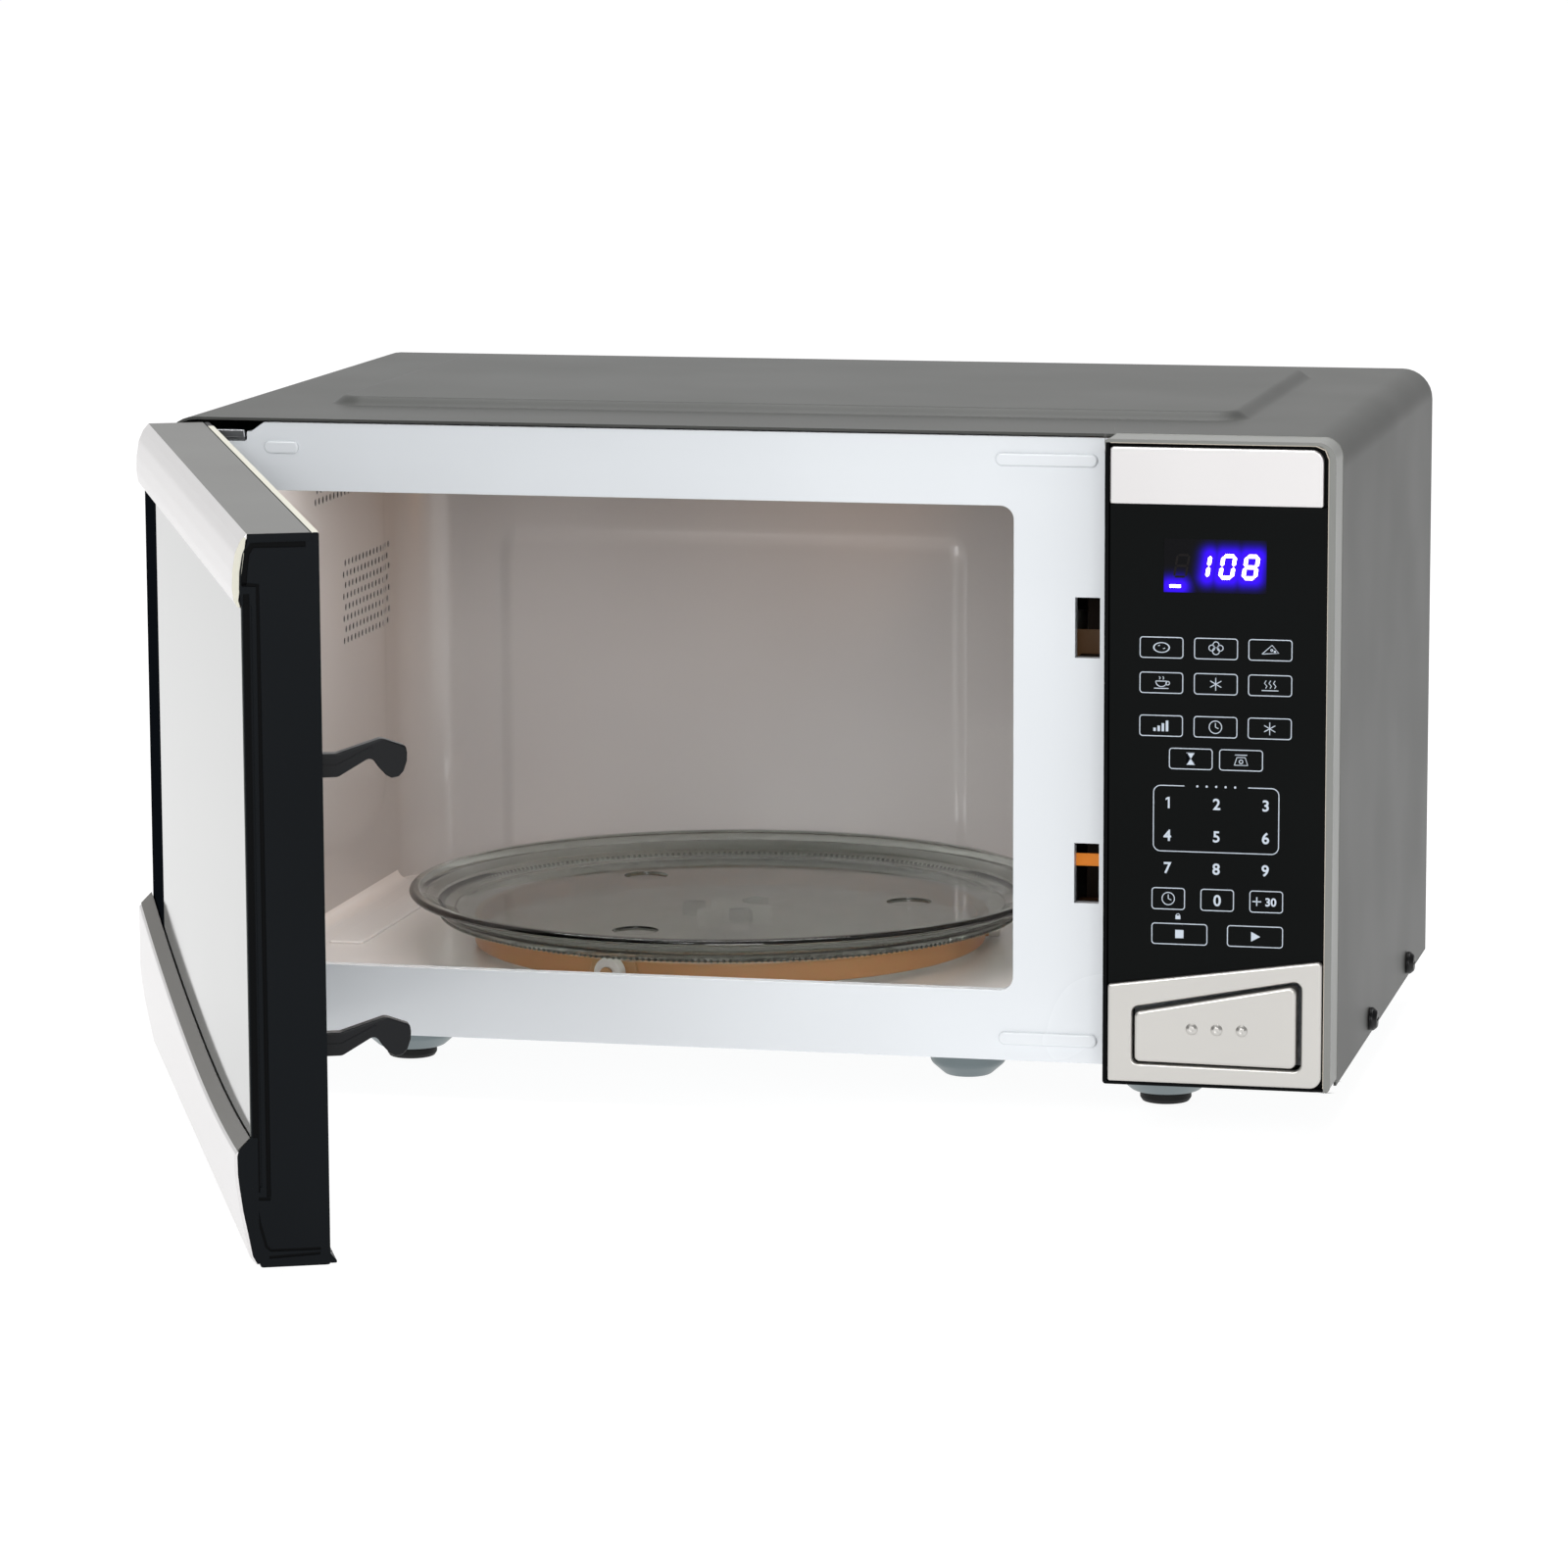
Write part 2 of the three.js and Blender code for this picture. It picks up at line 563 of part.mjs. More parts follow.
// Outline of the lower trim or of the membrane above it, along the sloping shared edge.
function slopeAt(x) {
  const { x0, x1 } = MEMBRANE;
  return TRIM_EDGE.left + (TRIM_EDGE.right - TRIM_EDGE.left) * (x - x0) / (x1 - x0);
}

const BUTTON_OPENING = [[369.4, 29.4], [430, 28.4], [429.6, 61], [369, 49.4]];

function shrink(points, by) {
  const [a, b, c, d] = points;
  return [[a[0] + by, a[1] + by], [b[0] - by, b[1] + by], [c[0] - by, c[1] - by], [d[0] + by, d[1] - by]];
}

function controlHousing() {
  const { x0, x1, z0, z1, front, back } = PANEL;
  const wall = 1.8;
  const collar = { x0: x0 + 0.6, x1: 438.4, z0: 24, z1: 243 };
  const body = join(
    alongY(roundedRectangle(x0, x1, z0, z1, [1, 2, 6, 1]), front, back, 4),
    box(collar.x0, collar.x1, back - 1, PLATE.front - GAP, collar.z0, collar.z1),
  );
  const recess = alongY(
    roundedRectangle(x0 + 1.6, x1 - 2, z0 + 1.1, z1 - 1.5, [0.5, 1, 4.5, 0.5]), front - 1, PANEL_FLOOR, 4);
  const pocket = box(x0 + wall, x1 - wall, PANEL_FLOOR + 2.2, back - wall, z0 + wall, z1 - wall);
  const mouth = box(collar.x0 + wall, collar.x1 - wall, back - wall - 1, back + 4,
    collar.z0 + wall, collar.z1 - wall);
  const window = box(DISPLAY.x0 + 1, DISPLAY.x1 - 1, -25, 0, DISPLAY.z0 + 1, DISPLAY.z1 - 1);
  const button = alongY(outline(shrink(BUTTON_OPENING, -0.4)), -25, 0);
  return cut(body, recess, pocket, mouth, window, button);
}

function keypadMembrane() {
  const { x0, x1, top, thickness } = MEMBRANE;
  const face = outline([[x0, slopeAt(x0) + GAP], [x1, slopeAt(x1) + GAP], [x1, top], [x0, top]]);
  const back = PANEL_FLOOR - GAP;
  const window = box(DISPLAY.x0, DISPLAY.x1, -25, 0, DISPLAY.z0, DISPLAY.z1);
  return alongY(face, back - thickness, back).subtract(window);
}

function displayWindow() {
  const back = PANEL_FLOOR - GAP;
  const { x0, x1, z0, z1 } = DISPLAY;
  return box(x0 + GAP, x1 - GAP, back - 1.5, back, z0 + GAP, z1 - GAP);
}

function displayModule() {
  return box(380.2, 415, -18.4, -10, 201.2, 218.4);
}

function controlBoard() {
  const board = box(364, 434, -9.4, -7.8, 80, 238);
  const relay = box(370, 388, -8.6, -1, 100, 122);
  const transformer = box(398, 426, -8.6, 0.5, 96, 124);
  const buzzer = rod('y', [380, 0, 150], -8.6, -2, 7, 14);
  const connector = box(404, 428, -8.6, -2, 150, 157);
  return join(board, relay, transformer, buzzer, connector);
}

function panelTopTrim() {
  const { x0, x1, top } = MEMBRANE;
  const face = roundedRectangle(x0, x1, top + GAP, PANEL.z1 - 1.9, [0.5, 0.5, 4, 1]);
  return alongY(face, PANEL.front - 0.7, PANEL_FLOOR - GAP, 4);
}

function panelLowerTrim() {
  const { x0, x1 } = MEMBRANE;
  const low = PANEL.z0 + 1.4;
  const face = outline([[x0, low], [x1 - 2, low], [x1, low + 2], [x1, slopeAt(x1)], [x0, slopeAt(x0)]]);
  const plate = alongY(face, PANEL.front - 1.2, PANEL_FLOOR - GAP);
  return plate.subtract(alongY(outline(BUTTON_OPENING), -25, 0));
}

function releaseButton() {
  const face = shrink(BUTTON_OPENING, 0.9);
  const cap = alongY(outline(face), PANEL.front - 2.4, -16.2);
  const stem = box(380, 388, -17, 15, 38, 46);
  const wedge = alongX(outline([[15, 46], [9, 52], [5, 52], [5, 45.5], [15, 45.5]]), 380, 388);
  const pips = [391, 400, 409].map((x) => rod('y', [x, 0, 42.5], PANEL.front - 3, PANEL.front - 2, 1.9, 12));
  return join(cap, stem, wedge, ...pips);
}

// ---------- door interlock in the cabinet ----------

function latchBoard() {
  const front = PLATE.back + LATCH_SLOTS.depth + 0.4;
  let board = box(353.2, 355.2, front, 46, 62, 214);
  for (const z of LATCH.bottoms) {
    board = board.add(box(343.6, 354, 9, 14.5, z - 7, z - 0.6));
    board = board.add(box(343.6, 354, 28, 30, z - 8, z + 18));
  }
  const springLug = box(354.5, 374, 9.6, 21, 75, 77);
  return board.add(springLug).subtract(box(352, 356, 10, 42, 132, 168));
}

function doorSwitch(z) {
  const body = box(355.6, 365.6, 12, 40, z, z + 16);
  const plunger = box(359, 362, 8, 13, z + 6, z + 10);
  const terminals = [16, 26, 36].map((y) => box(358, 363, y - 0.4, y + 0.4, z - 6, z + 1));
  return join(body, plunger, ...terminals);
}

function releaseSlider() {
  const beam = outline([[15.6, 46], [9.6, 52], [9.6, 56], [21, 56], [21, 46]]);
  const post = box(344.9, 348.9, 16.2, 21, 46, 77.4);
  return join(alongX(beam, 344.9, 388.3), post);
}

// Stands on the slider's beam and pushes up against the latch board's lug.
function sliderSpring() {
  const geometry = coil(3.4, 1, 17.2, 5);
  geometry.translate(368, 15.3, 56.9);
  return geometry;
}

// ---------- hinges ----------

function hingeBracket(z, pinFrom, pinTo) {
  const top = z + 1.6;
  const eye = rod('z', [HINGE.x, HINGE.y, 0], z, top, 5.2, 20);
  const arm = box(HINGE.x - 4.5, HINGE.x + 4.5, HINGE.y, 3, z, top);
  const wide = box(4, 31, 0.2, 14, z, top);
  const pin = rod('z', [HINGE.x, HINGE.y, 0], pinFrom, pinTo, 2.5, 16);
  return join(eye, arm, wide, pin);
}

function upperHinge() {
  const z = 245.7;
  const rivet = rod('z', [24, 5, 0], z + 1, z + 3.6, 3.8, 14);
  const web = box(16, 31, 12.4, 14, 242.4, z + 1.6);
  const tail = box(16, 31, 12.4, 30, 242.4, 244);
  return join(hingeBracket(z, 234, z + 1.6), rivet, web, tail);
}

function lowerHinge() {
  const z = 20.8;
  return join(hingeBracket(z, z, 34), rod('z', [24, 6, 0], z - 1.4, z + 0.4, 3.8, 14));
}

function sideScrew([y, z]) {
  const head = rod('x', [0, y, z], 440.3, 443, 4.4, 16);
  const crown = rod('x', [0, y, z], 442.5, 443.6, 3.2, 16);
  return join(head, crown, rod('x', [0, y, z], 434, 441, 1.9, 12));
}

// ---------- door, drawn closed ----------

const DOOR_WINDOW = { x0: 62, x1: 310, z0: 70, z1: 222 };
const DOOR_POCKET = { x0: 5.8, x1: 351.6, y0: -20.8, z0: 21.6, z1: 248 };
const HINGE_BLOCK = { x: 20, low: 36, high: 232 };

// Section across the frame, from its back face out to where the trims and the glass sit:
// [distance out, height].
const FRAME_SECTION = [
  [1.8, 17.4], [24.2, 17.4], [26.6, 30], [26.6, 43.6], [23.3, 43.6], [23.3, 230.2], [26.7, 230.2],
  [27.2, 235.5], [27, 241], [26.1, 246.3], [24.1, 251], [4.1, 251], [4.1, 252.9], [1.8, 252.9],
];

function outward(points) {
  return outline(points.map(([out, z]) => [-out, z]));
}

function doorFrame() {
  const { x0, x1, z0, inner, wall, glass } = DOOR;
  const pocket = DOOR_POCKET;
  const body = alongX(outward(FRAME_SECTION), x0, x1);
  const strip = box(x0 + 0.5, 49.7, glass + 0.3, wall + 0.5, 43, 231);
  const lipSection = [[-2.5, z0 + 0.4], [0.3, z0 + 0.4], [0.3, z0 + 1.2], [-2.2, z0 + 4.2], [-2.5, z0 + 4.2]];
  const lip = alongX(outline(lipSection), 30, x1 - 0.5);
  let frame = join(body, strip, lip);
  const hollow = cut(
    box(pocket.x0, pocket.x1, pocket.y0, inner + 1, pocket.z0, pocket.z1),
    box(0, HINGE_BLOCK.x, -30, 0, HINGE_BLOCK.high, 260),
    box(0, HINGE_BLOCK.x, -30, 0, 0, HINGE_BLOCK.low),
    box(338, 352, -30, -5.4, 236, 238),
  );
  frame = frame.subtract(hollow);
  const { x0: wx0, x1: wx1, z0: wz0, z1: wz1 } = DOOR_WINDOW;
  frame = frame.subtract(alongY(roundedRectangle(wx0, wx1, wz0, wz1, 6), -30, 0, 3));
  for (const [low, high] of [[244.9, 248.1], [20, 23.2]]) {
    frame = frame.subtract(box(0, HINGE.x + 6.6, HINGE.y - 6.2, 0, low, high));
  }
  const bores = [[232, 246], [22, 36]];
  for (const [low, high] of bores) {
    frame = frame.subtract(rod('z', [HINGE.x, HINGE.y, 0], low - 1, high + 1, 2.9, 16));
  }
  return frame;
}

function doorGlass() {
  const { x1, glass, wall } = DOOR;
  return box(50.1, x1 - 0.4, glass, wall - GAP, 44, 229.4);
}

function doorTopTrim() {
  const sheet = [
    [4.4, 252.9], [24.4, 252.9], [25.9, 252], [28.1, 247.4], [29.1, 241], [29.4, 235.5], [28.9, 231.7],
    [27.6, 229.8], [26.9, 229.8], [27.5, 231.9], [27.6, 235.5], [27.4, 241], [26.5, 246.5], [24.6, 251.3],
    [4.4, 251.3],
  ];
  return alongX(outward(sheet), DOOR.x0, DOOR.x1 - 0.2);
}

// The lower trim's top edge is one long shallow arc, lowest towards the free side.
const SWOOSH = { x: 276.8, lowest: 53.3, radius: 1440, out: 31.9, bevel: 0.9 };

function doorLowerTrim() {
  const section = [
    [24.6, 18.4], [25.4, 18.4], [27.4, 20.8], [28.9, 28.5], [30.3, 35.7], [31.3, 43], [31.8, 47.5],
    [31.9, 52], [31.9, 100], [26.9, 100], [26.9, 30],
  ];
  const bar = alongX(outward(section), DOOR.x0, DOOR.x1 - 0.2);
  const { x, lowest, radius, out, bevel } = SWOOSH;
  const start = Math.asin((DOOR.x0 - 1 - x) / radius);
  const end = Math.asin((DOOR.x1 + 1 - x) / radius);
  const above = new THREE.Shape();
  above.moveTo(DOOR.x1 + 1, 130);
  above.lineTo(DOOR.x0 - 1, 130);
  above.absarc(x, lowest + radius, radius, start - Math.PI / 2, end - Math.PI / 2);
  const depth = 12;
  const geometry = extrude(above, depth, 12);
  const upright = new THREE.Matrix4().set(1, 0, 0, 0, 0, 0, -1, depth / 2 - out, 0, 1, 0, 0, 0, 0, 0, 1);
  geometry.applyMatrix4(upright);
  const lean = new THREE.Matrix4().set(1, 0, 0, 0, 0, 1, 0, 0, 0, bevel, 1, bevel * out, 0, 0, 0, 1);
  geometry.applyMatrix4(lean);
  return bar.subtract(toSolid(geometry));
}

function doorChokePlate() {
  const outer = box(22, 338, -18, -5.8, 30, 244);
  const inner = box(23, 337, -19, -6.8, 31, 243);
  const frontLip = cut(box(22, 338, -19, -18, 30, 244), box(34, 326, -20, -17, 42, 232));
  return join(cut(outer, inner), frontLip);
}

function doorInnerCover() {
  const ring = box(6.2, 351.2, -4.9, -2.2, 22, 247.6);
  const { x0, x1, z0, z1 } = DOOR_WINDOW;
  const window = alongY(roundedRectangle(x0, x1, z0, z1, 6), -10, 0, 3);
  const corners = [
    box(0, HINGE_BLOCK.x + 0.4, -10, 0, HINGE_BLOCK.high - 0.4, 260),
    box(0, HINGE_BLOCK.x + 0.4, -10, 0, 0, HINGE_BLOCK.low + 0.4),
  ];
  const slots = LATCH.bottoms.map((z) => box(LATCH.x0 - 0.9, LATCH.x1 + 0.9, -10, 0, z - 1, z + 19));
  return cut(ring, window, ...corners, ...slots);
}

function doorInnerWindow() {
  const { x0, x1, z0, z1 } = DOOR_WINDOW;
  return alongY(roundedRectangle(x0 + 0.4, x1 - 0.4, z0 + 0.4, z1 - 0.4, 5.6), -4.4, -3.4, 3);
}

// Side view of one hook: [distance behind the door, height above the underside of its nose].
const HOOK = [
  [-5.3, 0.8], [7.4, 0.8], [18.1, 7], [20.6, 3.3], [22.7, 1], [24.5, 0], [26.8, 0.4], [28.4, 2.1],
  [29.5, 5.4], [29.6, 8], [29.2, 10.2], [21.5, 13], [7.1, 8.5], [-5.3, 8.5],
];

function latchHooks() {
  const { x0, x1, bottoms } = LATCH;
  const back = DOOR.inner;
  const bar = box(x0, x1, -12, -6.4, 74, 206);
  const hooks = bottoms.map((z) => (
    alongX(outline(HOOK.map(([behind, up]) => [back - 1.8 + behind, z + up])), x0, x1)));
  return join(bar, ...hooks);
}

function latchSpring() {
  const geometry = coil(2, 0.8, 28.4, 7);
  geometry.translate((LATCH.x0 + LATCH.x1) / 2, -9.2, 206.8);
  return geometry;
}

// ---------- assembly ----------

const oven = new THREE.Group();
const cabinet = new THREE.Group();
cabinet.position.set(FRAME_SHIFT_X, FRAME_SHIFT_Y, 0);
oven.add(cabinet);

place(cabinet, 'outer_cover', outerCover(), FINISH.cover);
place(cabinet, 'base_plate', basePlate(), FINISH.galvanised);
place(cabinet, 'back_panel', backPanel(), FINISH.galvanised);
place(cabinet, 'front_plate', frontPlate(), FINISH.enamel);
place(cabinet, 'cavity_liner', cavityLiner(), FINISH.liner);
place(cabinet, 'waveguide_cover', box(CAVITY.x1 - 1.1, CAVITY.x1 - 0.3, 104, 196, 126, 194), FINISH.mica);
place(cabinet, 'waveguide', waveguide(), FINISH.galvanised);
place(cabinet, 'magnetron', magnetron(), FINISH.steel);
place(cabinet, 'hv_transformer', transformer(), FINISH.darkSteel);
place(cabinet, 'hv_capacitor', capacitor(), FINISH.steel);
place(cabinet, 'capacitor_clamp', capacitorClamp(), FINISH.galvanised);
place(cabinet, 'hv_diode', diode(), FINISH.black);
place(cabinet, 'fan_housing', fanHousing(), FINISH.ivory);
place(cabinet, 'fan_motor', fanMotor(), FINISH.darkSteel);
place(cabinet, 'fan_blade', fanBlade(), FINISH.ivory);
place(cabinet, 'lamp_holder', lampHolder(), FINISH.ivory);
place(cabinet, 'oven_lamp', lampBulb(), FINISH.lamp);
place(cabinet, 'noise_filter', noiseFilter(), FINISH.board);
place(cabinet, 'thermal_cutout', thermalCutout(), FINISH.ivory);
place(cabinet, 'turntable_motor', turntableMotor(), FINISH.galvanised);
place(cabinet, 'cord_gland', cordGland(), FINISH.black);
place(cabinet, 'upper_hinge', upperHinge(), FINISH.steel);
place(cabinet, 'lower_hinge', lowerHinge(), FINISH.steel);
place(cabinet, 'latch_board', latchBoard(), FINISH.amber);
place(cabinet, 'release_slider', releaseSlider(), FINISH.white);
place(cabinet, 'slider_spring', sliderSpring(), FINISH.steel);

place(cabinet, 'control_housing', controlHousing(), FINISH.bezel);
place(cabinet, 'keypad_membrane', keypadMembrane(), FINISH.black);
place(cabinet, 'display_window', displayWindow(), FINISH.black);
place(cabinet, 'display_module', displayModule(), FINISH.black);
place(cabinet, 'control_board', controlBoard(), FINISH.board);
place(cabinet, 'panel_top_trim', panelTopTrim(), FINISH.silver);
place(cabinet, 'panel_lower_trim', panelLowerTrim(), FINISH.silver);
place(cabinet, 'release_button', releaseButton(), FINISH.silver);

const FOOT_NAMES = ['foot_front_left', 'foot_front_right', 'foot_rear_left', 'foot_rear_right'];
FOOT_PLACES.forEach((spot, i) => place(cabinet, FOOT_NAMES[i], foot(spot), FINISH.rubber));

const SWITCH_PLACES = { door_switch_lower: 84, door_switch_middle: 112, door_switch_upper: 182 };
for (const [name, z] of Object.entries(SWITCH_PLACES)) place(cabinet, name, doorSwitch(z), FINISH.black);

place(cabinet, 'side_screw_front', sideScrew(SIDE_SCREWS[0]), FINISH.black);
place(cabinet, 'side_screw_rear', sideScrew(SIDE_SCREWS[1]), FINISH.black);

const turntable = new THREE.Group();
turntable.position.set(TABLE_CENTRE.x, TABLE_CENTRE.y, 0);
cabinet.add(turntable);
place(turntable, 'turntable_shaft', turntableShaft(), FINISH.steel);
place(turntable, 'turntable_coupler', turntableCoupler(), FINISH.white);
place(turntable, 'glass_tray', glassTray(), FINISH.glass);
place(turntable, 'roller_ring', rollerRing(), FINISH.amber);
ROLLER_ANGLES.forEach((angle, i) => {
  const wheel = place(turntable, `ring_roller_${i + 1}`, roller(), FINISH.white);
  wheel.rotation.z = radians(angle);
  wheel.position.set(
    ROLLER.track * Math.cos(radians(angle)), ROLLER.track * Math.sin(radians(angle)), ROLLER.height);
});

const hinge = new THREE.Group();
hinge.position.set(HINGE.x, HINGE.y, 0);
hinge.rotation.z = -radians(DOOR_REST_ANGLE);
cabinet.add(hinge);
const door = new THREE.Group();
door.position.set(-HINGE.x, -HINGE.y, 0);
hinge.add(door);
place(door, 'door_frame', doorFrame(), FINISH.black);
place(door, 'door_glass', doorGlass(), FINISH.clear);
place(door, 'door_top_trim', doorTopTrim(), FINISH.silver);
place(door, 'door_lower_trim', doorLowerTrim(), FINISH.silver);
place(door, 'door_choke_plate', doorChokePlate(), FINISH.darkSteel);
place(door, 'door_inner_cover', doorInnerCover(), FINISH.black);
place(door, 'door_inner_window', doorInnerWindow(), FINISH.clear);
place(door, 'latch_hooks', latchHooks(), FINISH.black);
place(door, 'latch_spring', latchSpring(), FINISH.steel);

export default oven;
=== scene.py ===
import json
import math

import bmesh
import bpy
from mathutils import Matrix, Vector


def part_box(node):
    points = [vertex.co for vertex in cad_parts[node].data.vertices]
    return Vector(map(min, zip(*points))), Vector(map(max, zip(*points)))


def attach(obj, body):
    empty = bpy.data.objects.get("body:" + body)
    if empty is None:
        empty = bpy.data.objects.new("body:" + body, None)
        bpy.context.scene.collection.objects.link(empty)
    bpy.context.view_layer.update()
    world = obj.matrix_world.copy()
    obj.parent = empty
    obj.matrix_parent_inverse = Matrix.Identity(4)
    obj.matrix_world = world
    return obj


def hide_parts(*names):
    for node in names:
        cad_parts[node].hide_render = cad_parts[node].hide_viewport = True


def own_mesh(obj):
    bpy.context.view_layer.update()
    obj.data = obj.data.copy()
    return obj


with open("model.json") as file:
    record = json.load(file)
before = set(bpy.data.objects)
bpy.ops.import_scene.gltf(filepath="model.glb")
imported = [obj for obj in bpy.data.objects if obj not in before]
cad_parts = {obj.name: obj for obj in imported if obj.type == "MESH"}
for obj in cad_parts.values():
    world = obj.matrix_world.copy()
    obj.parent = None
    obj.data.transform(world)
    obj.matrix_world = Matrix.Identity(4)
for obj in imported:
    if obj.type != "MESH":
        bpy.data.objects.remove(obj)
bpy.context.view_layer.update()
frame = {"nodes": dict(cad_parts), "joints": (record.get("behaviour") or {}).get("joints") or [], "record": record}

# Looks for the microwave oven. Lengths are millimetres in the cabinet's own space: X = 0 at the
# cover's left side, Y = 0 at its front edge, Z = 0 on the table. Door pieces are drawn closed.

MM = 0.001
JOINTS = {joint["name"]: joint for joint in frame["joints"]}
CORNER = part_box("outer_cover")[0]
CABINET = Matrix.Translation((CORNER.x, CORNER.y, 0)) @ Matrix.Scale(MM, 4)
PIVOT = Vector(JOINTS["door_hinge"]["pos_m"])
SWING = math.radians(JOINTS["door_hinge"]["range_deg"][1])
DOOR = (Matrix.Translation(PIVOT) @ Matrix.Rotation(-SWING, 4, "Z")
        @ Matrix.Translation(-PIVOT) @ CABINET)

# Sizes that several pieces share.
OPENING = (23.3, 320.7, 49, 227.2)
DOOR_WINDOW = (62, 310, 70, 222)
PANEL_CLIMB = 11.0
HOOK_BOTTOMS = (83, 173)
THIRDS = (0, 120, 240)


class Span:
    """A CAD node's lowest and highest corners in one space, in millimetres."""

    def __init__(self, node, space=CABINET):
        inside = space.inverted()
        points = [inside @ v.co for v in frame["nodes"][node].data.vertices]
        self.x0, self.y0, self.z0 = (min(p[i] for p in points) for i in range(3))
        self.x1, self.y1, self.z1 = (max(p[i] for p in points) for i in range(3))
        self.cx, self.cy = (self.x0 + self.x1) / 2, (self.y0 + self.y1) / 2
        self.cz = (self.z0 + self.z1) / 2


# ---------- outlines ----------

def rectangle(a0, a1, b0, b1):
    return [(a0, b0), (a1, b0), (a1, b1), (a0, b1)]


def rounded(points, radius, steps=5):
    """A closed outline with its corners rounded, by one radius or by one for each corner."""
    nearly_straight = math.pi - 0.01
    radii = radius if isinstance(radius, (list, tuple)) else [radius] * len(points)
    out = []
    for i, (corner, r) in enumerate(zip(points, radii)):
        here = Vector(corner)
        before = (Vector(points[i - 1]) - here).normalized()
        after = (Vector(points[(i + 1) % len(points)]) - here).normalized()
        turn = before.angle(after)
        if r <= 0 or turn > nearly_straight:
            out.append(tuple(corner))
            continue
        middle = here + (before + after).normalized() * (r / math.sin(turn / 2))
        reach = r / math.tan(turn / 2)
        start, end = here + before * reach - middle, here + after * reach - middle
        first = math.atan2(start.y, start.x)
        sweep = math.atan2(end.y, end.x) - first
        sweep = (sweep + math.pi) % (2 * math.pi) - math.pi
        for k in range(steps + 1):
            angle = first + sweep * k / steps
            out.append((middle.x + r * math.cos(angle), middle.y + r * math.sin(angle)))
    return out


def round_rectangle(a0, a1, b0, b1, radius, steps=5):
    return rounded(rectangle(a0, a1, b0, b1), radius, steps)


def circle(a, b, r, steps=32, squash=1.0):
    turns = [2 * math.pi * k / steps for k in range(steps)]
    return [(a + r * squash * math.cos(t), b + r * math.sin(t)) for t in turns]


# ---------- meshes ----------

QUARTER = math.pi / 2
AXES = {
    "x": Matrix(((0, 0, 1), (1, 0, 0), (0, 1, 0))),
    "y": Matrix(((1, 0, 0), (0, 0, 1), (0, 1, 0))),
    "z": Matrix.Identity(3),
}


def shells(shape):
    """The faces of each connected part."""
    left = set(shape.faces)
    while left:
        shell, waiting = [], [left.pop()]
        while waiting:
            face = waiting.pop()
            shell.append(face)
            beside = {other for edge in face.edges for other in edge.link_faces} & left
            left -= beside
            waiting += beside
        yield shell


def faced_out(shape):
    """Turns every closed part so that its faces look outwards."""
    for shell in shells(shape):
        volume = 0
        start = shell[0].verts[0].co.copy()
        for face in shell:
            first, *rest = (vert.co - start for vert in face.verts)
            volume += sum(first.dot(one.cross(two)) for one, two in zip(rest, rest[1:]))
        if volume < 0:
            bmesh.ops.reverse_faces(shape, faces=shell)


SAME_POINT = 0.0005
NO_LENGTH = 0.0002


def closed(mesh):
    """Merges the mesh's doubled points and turns its faces outwards."""
    shape = bmesh.new()
    shape.from_mesh(mesh)
    bmesh.ops.remove_doubles(shape, verts=shape.verts, dist=SAME_POINT)
    bmesh.ops.dissolve_degenerate(shape, edges=shape.edges, dist=NO_LENGTH)
    bmesh.ops.recalc_face_normals(shape, faces=shape.faces)
    faced_out(shape)
    shape.to_mesh(mesh)
    shape.free()
    return mesh


def plate(loops, low, high, axis="y", edge=0.3, steps=2):
    """Closed outlines, the outside first and then holes, made solid between two places on an
    axis, with every rim rounded by edge."""
    curve = bpy.data.curves.new("outline", "CURVE")
    curve.dimensions = "2D"
    curve.fill_mode = "BOTH"
    curve.extrude = (high - low) / 2 - edge
    curve.bevel_depth = edge
    curve.bevel_resolution = steps
    curve.offset = -edge
    for loop in loops:
        spline = curve.splines.new("POLY")
        spline.points.add(len(loop) - 1)
        for point, (a, b) in zip(spline.points, loop):
            point.co = (a, b, 0, 1)
        spline.use_cyclic_u = True
    source = bpy.data.objects.new("outline", curve)
    mesh = bpy.data.meshes.new_from_object(source)
    bpy.data.objects.remove(source)
    mesh.transform(AXES[axis].to_4x4() @ Matrix.Translation((0, 0, (low + high) / 2)))
    return closed(mesh)


def block(x0, x1, y0, y1, z0, z1, edge=0.3):
    return plate([round_rectangle(x0, x1, z0, z1, edge, 2)], y0, y1, "y", edge)


def turned(profile, centre=(0, 0), steps=96, axis="z"):
    """A closed chain of (radius, height) turned about an axis through centre."""
    shape = bmesh.new()
    rings = []
    for r, h in profile:
        if r < 1e-6:
            rings.append([shape.verts.new((0, 0, h))])
        else:
            turns = [2 * math.pi * k / steps for k in range(steps)]
            rings.append([shape.verts.new((r * math.cos(t), r * math.sin(t), h)) for t in turns])
    for one, two in zip(rings, rings[1:] + rings[:1]):
        if len(one) == 1 and len(two) == 1:
            continue
        for k in range(steps):
            corners = [one[k % len(one)], one[(k + 1) % len(one)],
                       two[(k + 1) % len(two)], two[k % len(two)]]
            shape.faces.new(list(dict.fromkeys(corners)))
    mesh = bpy.data.meshes.new("turned")
    shape.to_mesh(mesh)
    shape.free()
    mesh.transform(AXES[axis].to_4x4() @ Matrix.Translation((*centre, 0)))
    return closed(mesh)


def grid(us, vs, place):
    """A surface of quads through place(u, v)."""
    shape = bmesh.new()
    points = [[shape.verts.new(place(u, v)) for v in vs] for u in us]
    for i in range(len(us) - 1):
        for j in range(len(vs) - 1):
            shape.faces.new((points[i][j], points[i + 1][j],
                             points[i + 1][j + 1], points[i][j + 1]))
    mesh = bpy.data.meshes.new("grid")
    shape.to_mesh(mesh)
    shape.free()
    return mesh


